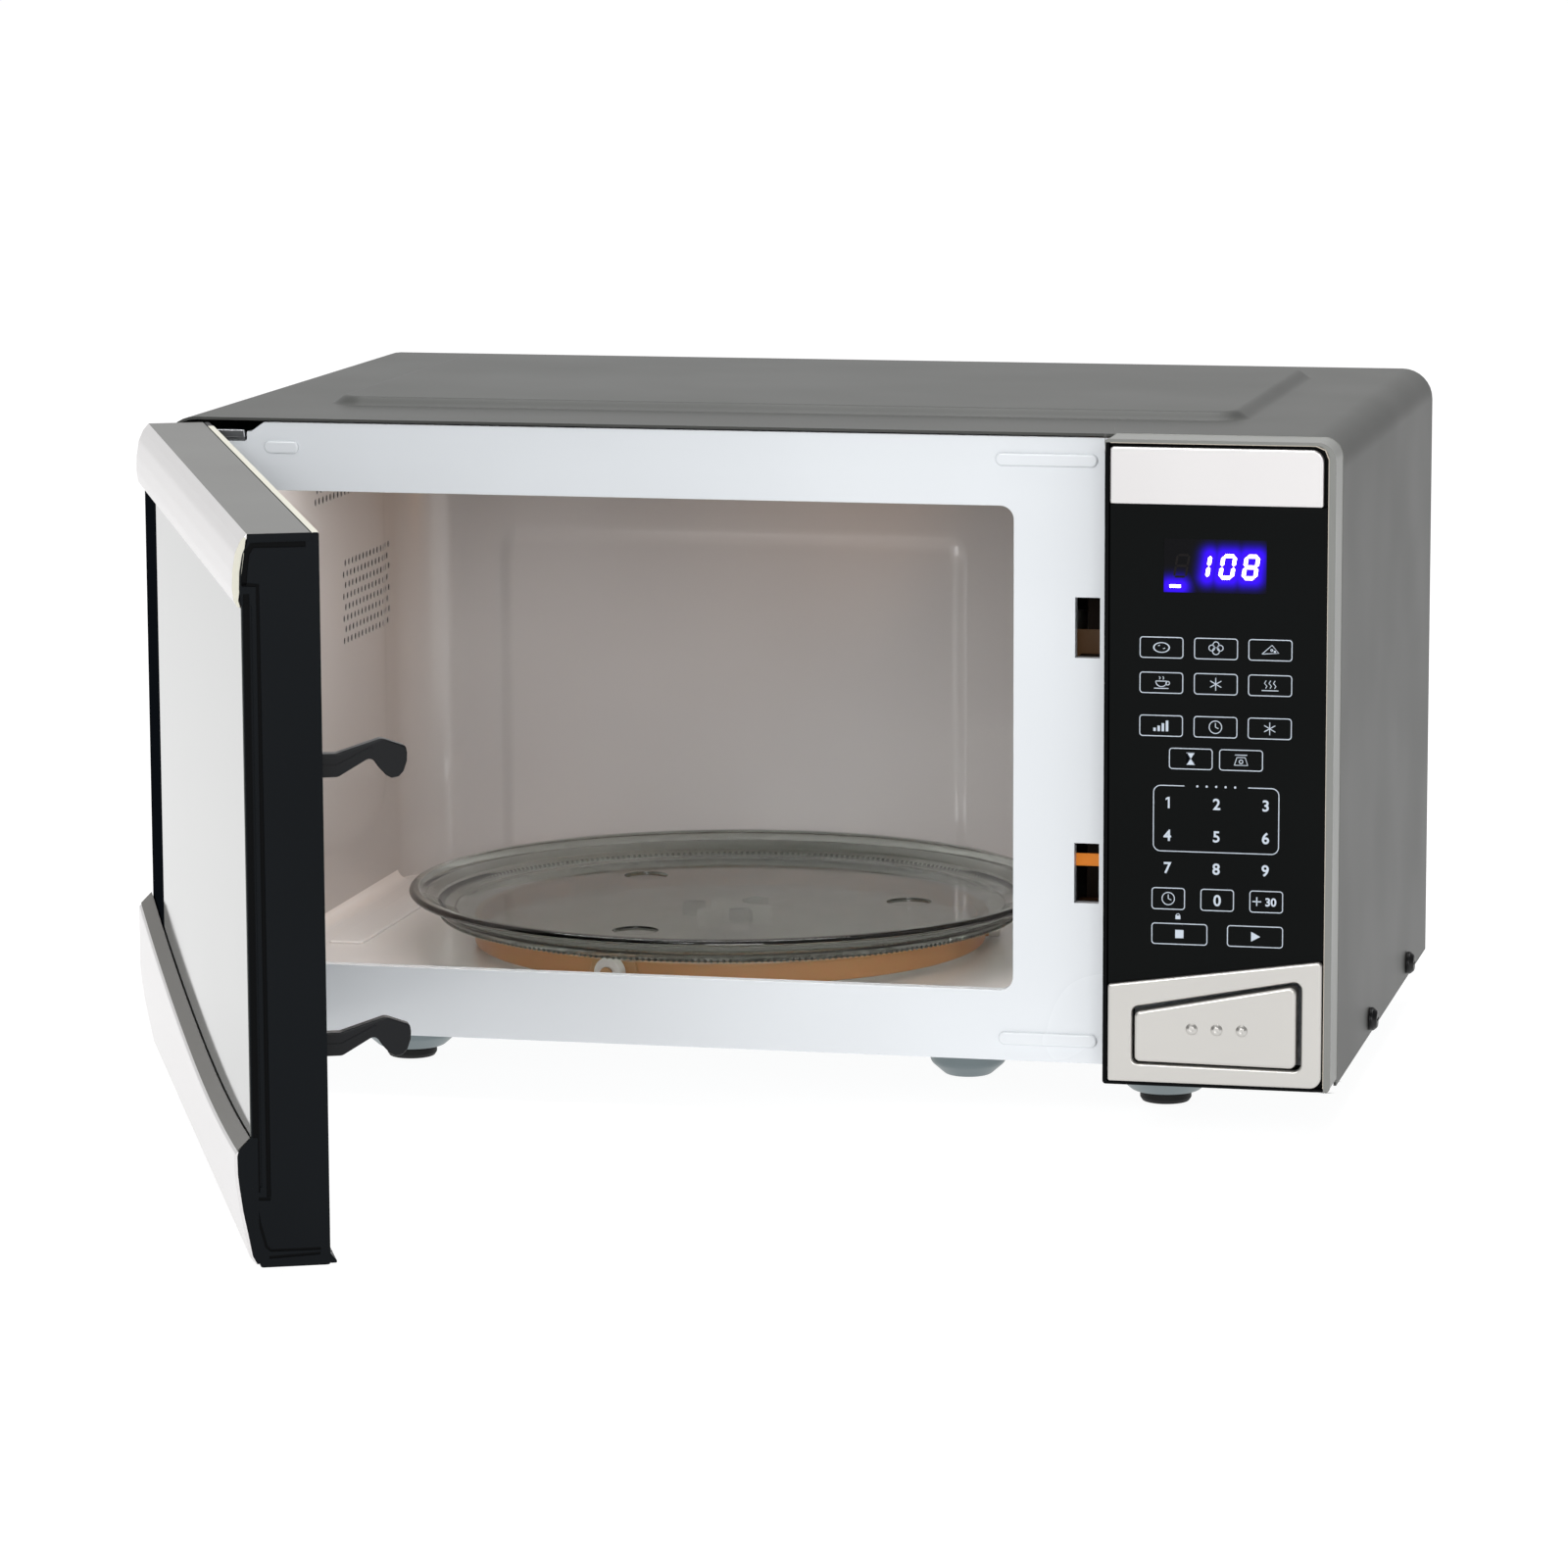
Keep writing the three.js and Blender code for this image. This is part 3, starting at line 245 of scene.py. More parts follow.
def together(*meshes):
    shape = bmesh.new()
    for mesh in meshes:
        shape.from_mesh(mesh)
    mesh = bpy.data.meshes.new("together")
    shape.to_mesh(mesh)
    shape.free()
    return mesh


def moved(mesh, matrix):
    copy = mesh.copy()
    copy.transform(matrix)
    return copy


def modified(mesh, kind, **settings):
    """The mesh with one modifier applied."""
    source = bpy.data.objects.new("source", mesh)
    bpy.context.scene.collection.objects.link(source)
    modifier = source.modifiers.new(kind, kind)
    for key, value in settings.items():
        setattr(modifier, key, value)
    graph = bpy.context.evaluated_depsgraph_get()
    result = bpy.data.meshes.new_from_object(source.evaluated_get(graph))
    bpy.data.objects.remove(source)
    return result


def at(place, angle=0.0, about="Z"):
    """A move to a place after a turn by an angle in radians."""
    return Matrix.Translation(place) @ Matrix.Rotation(angle, 4, about)


def plain(loops, low, high, axis="y"):
    """A prism with sharp rims, which booleans need."""
    return plate(loops, low, high, axis, 0, 0)


def cuboid(x0, x1, y0, y1, z0, z1):
    return plain([rectangle(x0, x1, z0, z1)], y0, y1)


def softened(mesh, width=0.45, segments=2):
    """The mesh with its sharp edges rounded."""
    return modified(mesh, "BEVEL", width=width, segments=segments, limit_method="ANGLE", angle_limit=0.6)


def joined(mesh, other):
    """The two meshes made one solid."""
    helper = bpy.data.objects.new("helper", other)
    bpy.context.scene.collection.objects.link(helper)
    result = modified(mesh, "BOOLEAN", operation="UNION", solver="EXACT", object=helper)
    bpy.data.objects.remove(helper)
    return closed(result)


def carved(mesh, *tools):
    """The mesh with each tool cut out of it."""
    for tool in tools:
        cutter = bpy.data.objects.new("cutter", tool)
        bpy.context.scene.collection.objects.link(cutter)
        mesh = modified(mesh, "BOOLEAN", operation="DIFFERENCE", solver="EXACT", object=cutter)
        bpy.data.objects.remove(cutter)
    return mesh


def coil(centre, radius, wire, low, high, turns):
    """An upright spring of round wire, with a flat turn at each end."""
    curve = bpy.data.curves.new("coil", "CURVE")
    curve.dimensions = "3D"
    curve.bevel_depth = wire
    curve.bevel_resolution = 3
    curve.use_fill_caps = True
    steps = 20
    total = (turns + 2) * steps
    spline = curve.splines.new("POLY")
    spline.points.add(total)
    for k, point in enumerate(spline.points):
        angle = 2 * math.pi * k / steps
        climb = min(max((k / steps - 1) / turns, 0), 1)
        pitch = wire * 2.1 * (min(k / steps, 1) + max(k / steps - 1 - turns, 0))
        height = low + wire + pitch + climb * (high - low - wire * 6.2)
        point.co = (centre[0] + radius * math.cos(angle), centre[1] + radius * math.sin(angle), height, 1)
    source = bpy.data.objects.new("coil", curve)
    mesh = bpy.data.meshes.new_from_object(source)
    bpy.data.objects.remove(source)
    return closed(mesh)


def piece(name, mesh, body, slot, nodes=(), space=CABINET, sharp=32, look=None):
    """Places a mesh in the row's frame, on its body, with its slot's material or another look."""
    mesh.name = name
    mesh.transform(space)
    mesh.shade_smooth()
    mesh.set_sharp_from_angle(angle=math.radians(sharp))
    made = bpy.data.objects.new(name, mesh)
    bpy.context.scene.collection.objects.link(made)
    mesh.materials.clear()
    mesh.materials.append(FINISH[look or slot])
    weight = made.modifiers.new("weight", "WEIGHTED_NORMAL")
    weight.keep_sharp = True
    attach(made, body)
    if nodes:
        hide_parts(*nodes)
    return made


# ---------- materials ----------

def srgb(r, g, b):
    def linear(c):
        c /= 255
        return c / 12.92 if c <= 0.04045 else ((c + 0.055) / 1.055) ** 2.4
    return (linear(r), linear(g), linear(b), 1)


def principled(name, colour, roughness, metallic=0.0, **sockets):
    material = bpy.data.materials.new(name)
    material.use_nodes = True
    shader = material.node_tree.nodes["Principled BSDF"]
    shader.inputs["Base Color"].default_value = colour
    shader.inputs["Roughness"].default_value = roughness
    shader.inputs["Metallic"].default_value = metallic
    for key, value in sockets.items():
        shader.inputs[key.replace("_", " ")].default_value = value
    return material, material.node_tree, shader


def texture(tree, kind, scale, **settings):
    """A noise-like texture in object space; scale is in features per metre."""
    nodes, links = tree.nodes, tree.links
    where = nodes.new("ShaderNodeTexCoord")
    made = nodes.new(kind)
    made.inputs["Scale"].default_value = scale
    for key, value in settings.items():
        made.inputs[key.replace("_", " ")].default_value = value
    links.new(where.outputs["Object"], made.inputs["Vector"])
    return made


def between(tree, source, low, high, socket):
    """Feeds a 0 to 1 texture output into a number socket as low to high."""
    ramp = tree.nodes.new("ShaderNodeMapRange")
    ramp.inputs["From Min"].default_value = 0.3
    ramp.inputs["From Max"].default_value = 0.7
    ramp.inputs["To Min"].default_value = low
    ramp.inputs["To Max"].default_value = high
    tree.links.new(source, ramp.inputs["Value"])
    tree.links.new(ramp.outputs["Result"], socket)


def shades(tree, source, dark, light, socket):
    """Feeds a texture output into a colour socket, from one colour to another."""
    ramp = tree.nodes.new("ShaderNodeValToRGB")
    ramp.color_ramp.elements[0].position = 0.3
    ramp.color_ramp.elements[1].position = 0.7
    ramp.color_ramp.elements[0].color = dark
    ramp.color_ramp.elements[1].color = light
    tree.links.new(source, ramp.inputs["Fac"])
    tree.links.new(ramp.outputs["Color"], socket)


def bump(tree, shader, source, depth, strength=1.0):
    """Raises the surface by up to depth metres where source is bright."""
    made = tree.nodes.new("ShaderNodeBump")
    made.inputs["Distance"].default_value = depth
    made.inputs["Strength"].default_value = strength
    tree.links.new(source, made.inputs["Height"])
    tree.links.new(made.outputs["Normal"], shader.inputs["Normal"])


def grained(name, rgb, roughness, metallic=0.0, grain=1500, depth=0.00001, vary=0.012, spread=0.025,
            **sockets):
    """The common finish: a faint drift of colour and gloss, and a fine grain."""
    colour = srgb(*rgb)
    material, tree, shader = principled(name, colour, roughness, metallic, **sockets)
    clouds_per_metre = 14
    cloud = texture(tree, "ShaderNodeTexNoise", clouds_per_metre, Detail=1.5)
    fine = texture(tree, "ShaderNodeTexNoise", grain, Detail=2.0)
    dark = tuple(c * (1 - 2 * vary) for c in colour[:3]) + (1,)
    light = tuple(min(c * (1 + vary), 1) for c in colour[:3]) + (1,)
    shades(tree, cloud.outputs["Fac"], dark, light, shader.inputs["Base Color"])
    between(tree, cloud.outputs["Fac"], roughness - spread, roughness + spread,
            shader.inputs["Roughness"])
    bump(tree, shader, fine.outputs["Fac"], depth, 0.5)
    return material


def clear_glass():
    material, tree, shader = principled(
        "clear_glass", srgb(184, 190, 184), 0.04, Transmission_Weight=1.0, IOR=1.45)
    smear = texture(tree, "ShaderNodeTexNoise", 60, Detail=3.0)
    between(tree, smear.outputs["Fac"], 0.02, 0.1, shader.inputs["Roughness"])
    return material


def mirror_glass():
    material, tree, shader = principled(
        "mirror_glass", srgb(66, 70, 67), 0.06, 0.5, Coat_Weight=0.1, Coat_Roughness=0.03)
    smear = texture(tree, "ShaderNodeTexNoise", 25, Detail=4.0)
    between(tree, smear.outputs["Fac"], 0.03, 0.07, shader.inputs["Roughness"])
    return material


def screened_window():
    """The inner window: a black perforated screen seen through a clear sheet."""
    material, tree, shader = principled(
        "screened_window", srgb(20, 22, 24), 0.18, Coat_Weight=0.6, Coat_Roughness=0.05)
    dots = texture(tree, "ShaderNodeTexVoronoi", 520, Randomness=0.0)
    hole = tree.nodes.new("ShaderNodeMapRange")
    hole.inputs["From Min"].default_value = 0.3
    hole.inputs["From Max"].default_value = 0.42
    hole.inputs["To Min"].default_value = 0.45
    hole.inputs["To Max"].default_value = 1.0
    tree.links.new(dots.outputs["Distance"], hole.inputs["Value"])
    tree.links.new(hole.outputs["Result"], shader.inputs["Alpha"])
    return material


def glowing(name, colour, strength):
    material, _, shader = principled(name, colour, 0.4)
    shader.inputs["Emission Color"].default_value = colour
    shader.inputs["Emission Strength"].default_value = strength
    return material


GLOW = "glow"
GLOW_STRENGTH = 1.5


def halo():
    """The display's smoked window, with a painted glow round its digits for their light spread inside it."""
    material, tree, shader = principled(
        "display_glow", srgb(7, 7, 10), 0.2, Emission_Color=(0.035, 0.0, 1.0, 1),
        Specular_IOR_Level=0.08)
    stored = tree.nodes.new("ShaderNodeAttribute")
    stored.attribute_name = GLOW
    scale = tree.nodes.new("ShaderNodeMath")
    scale.operation = "MULTIPLY"
    scale.inputs[1].default_value = GLOW_STRENGTH
    tree.links.new(stored.outputs["Fac"], scale.inputs[0])
    tree.links.new(scale.outputs["Value"], shader.inputs["Emission Strength"])
    return material


FINISH = {
    "cover_paint": grained("cover_paint", (69, 70, 68), 0.46, 0.1, grain=2600, depth=0.00002,
                           vary=0.012, Specular_IOR_Level=0.25),
    "enamel": grained("enamel", (222, 226, 230), 0.25, grain=420, depth=0.000006,
                      Coat_Weight=0.4, Coat_Roughness=0.1),
    "liner_enamel": grained("liner_enamel", (179, 176, 175), 0.3, grain=420, depth=0.000006,
                            Coat_Weight=0.5, Coat_Roughness=0.05),
    # painted light: a lighter copy of the liner's enamel for the cavity floor, where more light falls
    "painted_light_floor_enamel": grained("painted_light_floor_enamel", (228, 223, 220), 0.3, grain=420, depth=0.000006,
                            Coat_Weight=0.5, Coat_Roughness=0.05),
    "galvanised": grained("galvanised", (168, 173, 175), 0.38, 0.9, grain=300, vary=0.07, spread=0.06),
    "bright_steel": grained("bright_steel", (188, 190, 193), 0.3, 1.0, grain=900, vary=0.05,
                            spread=0.05),
    "dark_steel": grained("dark_steel", (52, 53, 56), 0.45, 0.6, grain=900, vary=0.06),
    "silver_paint": grained("silver_paint", (217, 215, 215), 0.3, 0.75, grain=2600, depth=0.000002,
                            spread=0.01),
    "silver_frame": grained("silver_frame", (196, 194, 190), 0.3, 0.8, grain=2600, depth=0.000005,
                            spread=0.02),
    # painted shade: mid grey for the top face of the door's silver top trim
    "painted_shade_top": grained("painted_shade_top", (97, 97, 95), 0.4, 0.3, grain=2600),
    # painted highlight: cream for light reflected along the door's top edges
    "painted_edge_highlight": grained("painted_edge_highlight", (200, 198, 184), 0.4),
    "grey_bezel": grained("grey_bezel", (124, 125, 122), 0.38, 0.3, grain=2200),
    "black_gloss": grained("black_gloss", (10, 12, 12), 0.3, grain=2400, vary=0.05,
                           Specular_IOR_Level=0.05),
    "door_black": grained("door_black", (14, 17, 20), 0.36, grain=2400, vary=0.05,
                          Specular_IOR_Level=0.06),
    "black_plastic": grained("black_plastic", (13, 15, 18), 0.3, grain=2000, vary=0.06,
                             Specular_IOR_Level=0.2),
    "door_inner_paint": grained("door_inner_paint", (12, 14, 16), 0.3, grain=900,
                                Specular_IOR_Level=0.25),
    "mirror_glass": mirror_glass(),
    "clear_glass": clear_glass(),
    "inner_film": screened_window(),
    "ivory_plastic": grained("ivory_plastic", (224, 218, 202), 0.45, vary=0.03),
    "white_plastic": grained("white_plastic", (226, 222, 217), 0.38, vary=0.03),
    "amber_plastic": grained("amber_plastic", (190, 140, 96), 0.34, grain=700, vary=0.05,
                             Subsurface_Weight=0.15),
    "rubber": grained("rubber", (12, 12, 12), 0.6, grain=1800, depth=0.00003, vary=0.1,
                      Specular_IOR_Level=0.3),
    "circuit_board": grained("circuit_board", (38, 98, 62), 0.4, vary=0.08),
    "mica": grained("mica", (192, 178, 148), 0.5, grain=250, vary=0.08, spread=0.08),
    "lamp_glass": glowing("lamp_glass", (1.0, 0.5, 0.2, 1), 4.0),
    "black_screw": grained("black_screw", (20, 20, 22), 0.35, 0.4, vary=0.1),
    "dish_paint": grained("dish_paint", (116, 127, 130), 0.38, 0.5, vary=0.04),
    "print": grained("panel_print", (190, 200, 212), 0.5),
    "digits": glowing("display_digits", (0.62, 0.5, 1.0, 1), 7.0),
    "unlit": grained("unlit_segments", (33, 31, 31), 0.5, Specular_IOR_Level=0.0),
    "halo": halo(),
    # painted shadow: near black and barely reflecting, for gaps, grooves and backings seen in shade
    "gap": grained("shadow_gap", (5, 6, 7), 0.5, Specular_IOR_Level=0.05),
    "shut_side": grained("shut_side", (12, 15, 19), 0.7, Specular_IOR_Level=0.0),
    # painted shade: dark grey for the leaning face behind the lower door trim's ridge
    "painted_shade_slope": grained("painted_shade_slope", (98, 96, 92), 0.4, 0.3, grain=2600, Specular_IOR_Level=0.2),
    "dark_amber": grained("dark_amber", (30, 20, 12), 0.5, Specular_IOR_Level=0.1),
    # painted light: amber glows for the latch stops, a bright one and a dim, shaded copy
    "painted_glow_amber": glowing("painted_glow_amber", (0.86, 0.26, 0.03, 1), 0.5),
    "painted_dim_glow_amber": glowing("painted_dim_glow_amber", (0.09, 0.042, 0.014, 1), 0.25),
    # painted highlight: beige for the lit bevel inside the control housing's rim
    "painted_bevel_highlight": grained("painted_bevel_highlight", (196, 186, 172), 0.4, 0.2),
}


# ---------- cover ----------

def stops(*spans):
    """Sorted places with the wanted count in each span, for an uneven grid."""
    places = set()
    for low, high, count in spans:
        places.update(round(low + (high - low) * k / count, 4) for k in range(count + 1))
    return sorted(places)


def panel_lift(along, up, bounds, radius, slope):
    """0 outside a rounded rectangle, rising smoothly to 1 within slope of its edge."""
    a0, a1, b0, b1 = bounds
    da = abs(along - (a0 + a1) / 2) - (a1 - a0) / 2 + radius
    db = abs(up - (b0 + b1) / 2) - (b1 - b0) / 2 + radius
    outside = math.hypot(max(da, 0), max(db, 0)) + min(max(da, db), 0) - radius
    t = min(max(-outside / slope, 0), 1)
    return t * t * (3 - 2 * t)


def outer_cover():
    """Wrapped sheet with a soft-edged raised panel in its top."""
    s = Span("outer_cover")
    rise, slope, top = 3.2, 6.0, s.z1 - 2.5
    corner, sheet = 12, 1.0
    panel = {"x0": 46, "x1": s.x1 - 42, "y0": 50, "y1": s.y1 - 34}
    edges = (panel["x0"], panel["x1"], panel["y0"], panel["y1"])

    profile = [(s.x0, z) for z in (s.z0, s.z0 + 40, top - corner - 20)]
    arc = [math.pi * (1 - k / 16) for k in range(9)]
    profile += [(s.x0 + corner + corner * math.cos(a), top - corner + corner * math.sin(a)) for a in arc]
    xs = stops((s.x0 + corner, panel["x0"] - 1, 3), (panel["x0"] - 1, panel["x0"] + 16, 26),
               (panel["x0"] + 16, panel["x1"] - 16, 8), (panel["x1"] - 16, panel["x1"] + 1, 26),
               (panel["x1"] + 1, s.x1 - corner, 3))
    profile += [(x, top) for x in xs[1:-1]]
    profile += [(s.x1 + s.x0 - x, z) for x, z in reversed(profile[:12])]
    ys = stops((s.y0 + 0.4, panel["y0"] - 1, 4), (panel["y0"] - 1, panel["y0"] + 16, 26),
               (panel["y0"] + 16, panel["y1"] - 16, 6), (panel["y1"] - 16, panel["y1"] + 1, 26),
               (panel["y1"] + 1, s.y1 - 0.4, 3))

    def place(point, y):
        x, z = point
        return (x, y, z + (rise * panel_lift(x, y, edges, 15, slope) if z > top - 0.001 else 0))

    skin = modified(grid(profile, ys, place), "SOLIDIFY", thickness=sheet, offset=-1.0)
    box = closed(skin)
    inner_side = block(s.x0 + 1.05, s.x0 + 1.8, 1.5, 12, s.z0 + 1, s.z1 - 20, 0.2)
    piece("outer_cover_skin", together(box, inner_side), "cabinet", "cover_paint", ["outer_cover"],
          sharp=50)


def side_screws():
    side = Span("outer_cover").x1 + 0.2
    for node in ("side_screw_front", "side_screw_rear"):
        s = Span(node)
        wide, tall = (s.y1 - s.y0) / 2, s.x1 - 0.4 - side
        head = rounded([(0, 0), (wide, 0), (wide, 1.4), (wide - 1.3, tall), (0, tall)],
                       [0, 0.2, 0.8, 1.2, 0], 4)
        mesh = turned(head, (0, 0), 48, "z")
        slots = [cuboid(-2.6, 2.6, -0.45, 0.45, tall - 1.4, 4),
                 cuboid(-0.45, 0.45, -2.6, 2.6, tall - 1.4, 4)]
        mesh = carved(mesh, *slots)
        mesh = moved(mesh, at((side, s.cy, s.cz), QUARTER, "Y"))
        piece(node + "_head", mesh, "cabinet", "black_screw", [node])


# ---------- front plate and cavity ----------

def front_plate():
    s = Span("front_plate")
    slot = {"x0": 343.4, "x1": 352.4, "height": 22}
    corner = 10.6
    outline = [(s.x0, s.z0), (s.x1, s.z0), (s.x1, s.z1), (38.4, s.z1), (33.4, 249.0), (31.6, 249.0),
               (31.6, 245.4), (5, 245.4), (s.x0, 238)]
    outside = rounded(outline, [1, 1, corner, 1.5, 1, 0.4, 1, 2, 2], 6)
    opening = round_rectangle(*OPENING, 5, 8)
    slots = [rectangle(slot["x0"], slot["x1"], z, z + slot["height"]) for z in (82.5, 172.5)]
    front, back = s.y0 + 0.8, s.y1
    sheet = plate([outside, opening, *slots], front, back, "y", 0.25)
    lip = plate([round_rectangle(22.6, 321.4, 48.3, 227.9, 5.5, 8), opening], back - 0.1, back + 0.25,
                "y", 0.05)
    ribs = []
    for x0, x1, z in ((314, 351.5, 244.2), (315.5, 352, 31.4), (38.5, 51.7, 243.4)):
        ribs.append(plate([round_rectangle(x0, x1, z - 2.4, z + 2.4, 2.3, 6)],
                          front - 1.1, front + 0.6, "y", 0.8, 4))
    piece("front_plate_enamel", together(sheet, lip, *ribs), "cabinet", "enamel",
          ["front_plate"])


def vent_rows(first, last, y0, y1, hole, pitch, step):
    """Rows of upright oval holes on the wall; every second row is set half a step along."""
    wide, tall = hole * 0.42, hole / 2
    loops = []
    for row in range(int((last - first) / pitch + 1.5)):
        z = first + row * pitch
        shift = step / 2 if row % 2 else 0
        for k in range(int((y1 - y0) / step + 0.5)):
            y = y0 + shift + k * step
            loops.append(rounded(rectangle(y - wide, y + wide, z - tall, z + tall), wide * 0.95, 2))
    return loops


def cavity():
    s = Span("cavity_liner")
    sheet, corner = 1.0, 23
    x0, x1, back = s.x0 + sheet, s.x1 - sheet, s.y1 - sheet
    floor, roof = s.z0 + sheet, s.z1 - sheet
    straight = back - corner
    turns = [math.pi / 2 * k / 14 for k in range(15)]
    sides = stops((s.y0, straight, 62))[:-1]
    path = [(x0, y) for y in sides]
    path += [(x0 + corner - corner * math.cos(t), straight + corner * math.sin(t)) for t in turns]
    path += [(x, back) for x in stops((x0 + corner + 4, 54, 2), (54, 62, 8), (62, 244, 4), (244, 252, 8),
                                      (252, x1 - corner - 4, 3))]
    path += [(x1 - corner + corner * math.sin(t), straight + corner * math.cos(t)) for t in turns]
    path += [(x1, y) for y in reversed(sides)]
    heights = stops((s.z0 + 0.3, s.z1 - 0.3, 62))

    def place(point, z):
        x, y = point
        if y > back - 0.01:
            return (x, y - 1.1 * panel_lift(x, z, (54, 252, 0, 184), 12, 6), z)
        if x < x0 + 0.01:
            return (x + 1.2 * panel_lift(y, z, (18, 237, 58, 234), 36, 10), y, z)
        return (x, y, z)

    wall = closed(modified(grid(path, heights, place), "SOLIDIFY", thickness=0.35, offset=1.0))
    vents = vent_rows(147.2, 179, 172.5, 244, 3.0, 4.45, 5.0)
    vents += vent_rows(207, 225, 136, 232, 3.1, 4.45, 5.0)
    lamp_holes = vent_rows(194, 209, 214, 247, 3.0, 5.0, 5.0)
    wall = carved(wall, together(*[plain([loop], s.x0 - 2, x0 + 4, "x") for loop in vents]),
                  together(*[plain([loop], x1 - 2, s.x1 + 2, "x") for loop in lamp_holes]))
    ground = rounded([(x0 - 0.2, s.y0), (x1 + 0.2, s.y0), (x1 + 0.2, back + 0.2), (x0 - 0.2, back + 0.2)],
                     [0, 0, corner, corner], 14)
    table = Span("glass_tray")
    bottom = plate([ground, circle(table.cx, table.cy, 9)], s.z0, floor, "z", 0.05, 1)
    top = plate([ground], roof, s.z1, "z", 0.05, 1)
    bead = plate([rounded(rectangle(29, 43, 103, 218), 1.5, 4)], floor - 0.3, floor + 1.1, "z", 0.7, 3)
    bend, curve = 6, [QUARTER * k / 6 for k in range(7)]
    hollow = [(x0 + bend - bend * math.sin(t), floor + bend - bend * math.cos(t)) for t in curve]
    cove = plain([[(x0, floor)] + hollow], s.y0 + 1, straight)
    piece("cavity_enamel", together(wall, top), "cabinet", "liner_enamel", ["cavity_liner"], sharp=40)
    # painted light: the cavity floor takes the lighter copy of the liner's enamel
    piece("cavity_floor", together(bottom, bead, cove), "cabinet", "liner_enamel", sharp=40,
          look="painted_light_floor_enamel")
    # painted shade: near-black sheets behind the left wall's vents, so the holes read dark
    behind_vents = ((168, 250, 143, 185), (130, 238, 202, 232))
    shade_backing = [block(s.x0 - 2.2, s.x0 - 1.4, *span) for span in behind_vents]
    piece("cavity_vent_shade_backing", together(*shade_backing), "cabinet", "dark_steel", look="gap")


# ---------- turntable ----------

def glass_tray():
    s = Span("glass_tray")
    centre, radius = (s.cx, s.cy), (s.x1 - s.x0) / 2
    rim = s.z1
    under, floor = rim - 11.7, rim - 7.9
    profile = rounded([
        (0, under), (106, under), (109, under + 0.2), (113.4, under + 1.4), (114.5, under + 4.8),
        (119.6, rim - 4.4), (radius, rim - 2.4), (radius, rim), (radius - 3.8, rim), (119, rim - 1.7),
        (113, rim - 5.6), (107, floor), (0, floor),
    ], [0, 1, 1, 0.9, 3, 2, 1.2, 1.6, 1.4, 3, 4, 3, 0], 5)
    dish = turned(profile, centre, 160)
    for angle in THIRDS:
        turn = math.radians(12 + angle)
        place = (s.cx + 70 * math.cos(turn), s.cy + 70 * math.sin(turn))
        pad = turned([(0, floor - 0.8), (8.8, floor - 0.8), (8.8, floor + 0.1), (8.0, floor + 0.5),
                      (0, floor + 0.8)], place, 40)
        dish = joined(dish, pad)
    lug = plate([rounded(rectangle(10.5, 18.5, -4, 4), 1.2, 3)], s.z0, under + 0.3, "z", 0.4)
    lugs = [moved(lug, at((*centre, 0), math.radians(60 + a))) for a in THIRDS]
    beads, bead_radius = 300, 113.3
    knurl = []
    for k in range(beads):
        turn = 2 * math.pi * k / beads
        place = (s.cx + bead_radius * math.cos(turn), s.cy + bead_radius * math.sin(turn))
        knurl.append(turned([(0, under + 0.9), (0.6, under + 1.2), (0.6, under + 2.2), (0, under + 2.6)],
                            place, 6))
    piece("glass_tray_dish", together(dish, *lugs), "turntable", "clear_glass", ["glass_tray"], sharp=50)
    piece("glass_tray_beading", together(*knurl), "turntable", "clear_glass")


def coupler():
    s = Span("turntable_coupler")
    shaft = Span("turntable_shaft")
    centre = (shaft.cx, shaft.cy)
    hub = rounded([(0, s.z0), (7.6, s.z0), (7.6, s.z1), (0, s.z1)], [0, 0.5, 0.8, 0], 3)
    hub = turned(hub, centre, 48)
    lobe = plate([rounded(rectangle(4, 17, -3, 3), 2.2, 4)], s.z1 - 7, s.z1, "z", 0.5)
    lobes = [moved(lobe, at((*centre, 0), math.radians(a))) for a in THIRDS]
    piece("turntable_coupler_star", together(hub, *lobes), "turntable", "white_plastic",
          ["turntable_coupler"])


def roller_ring():
    s = Span("roller_ring")
    tray = Span("glass_tray")
    centre = (tray.cx, tray.cy)
    z0, z1 = s.z0, s.z1
    band = turned(rounded([(97.2, z0), (99.9, z0), (99.9, z1), (97.2, z1)], 0.7, 3), centre, 160)
    parts = [band]
    for index in (1, 2, 3):
        node = f"ring_roller_{index}"
        wheel = Span(node)
        away = Vector((wheel.cx - centre[0], wheel.cy - centre[1]))
        spin = at((*centre, 0), math.atan2(away.y, away.x))
        pad = rounded([(-11, z0 + 0.4), (-7, z0), (7, z0), (11, z0 + 0.4), (9, z1), (-9, z1)], 1, 4)
        pad = plate([pad], 95.6, 100.8, "x", 0.5)
        axle = turned(rounded([(0, 98), (1.8, 98), (1.8, 107.2), (0, 107.2)], [0, 0, 0.3, 0], 3),
                      (0, wheel.cz), 24, "x")
        cap = turned(rounded([(0, 106.8), (2.6, 106.8), (2.2, 108), (0, 108)], [0, 0.2, 0.3, 0], 3),
                     (0, wheel.cz), 24, "x")
        parts += [moved(part, spin) for part in (pad, axle, cap)]
        tyre = turned(rounded([(2.3, -2.5), (5.8, -2.5), (5.8, 2.5), (2.3, 2.5)], [0.4, 1, 1, 0.4], 4),
                      (0, 0), 56, "z")
        groove = turned([(3.3, 2.2), (4.4, 2.2), (4.4, 2.7), (3.3, 2.7)], (0, 0), 56, "z")
        tyre = carved(tyre, groove)
        roll = spin @ at((away.length, 0, wheel.cz), QUARTER, "Y")
        piece(node + "_tyre", moved(tyre, roll), node, "white_plastic", [node])
    piece("roller_ring_band", together(*parts), "roller_ring", "amber_plastic", ["roller_ring"])


# ---------- control panel ----------

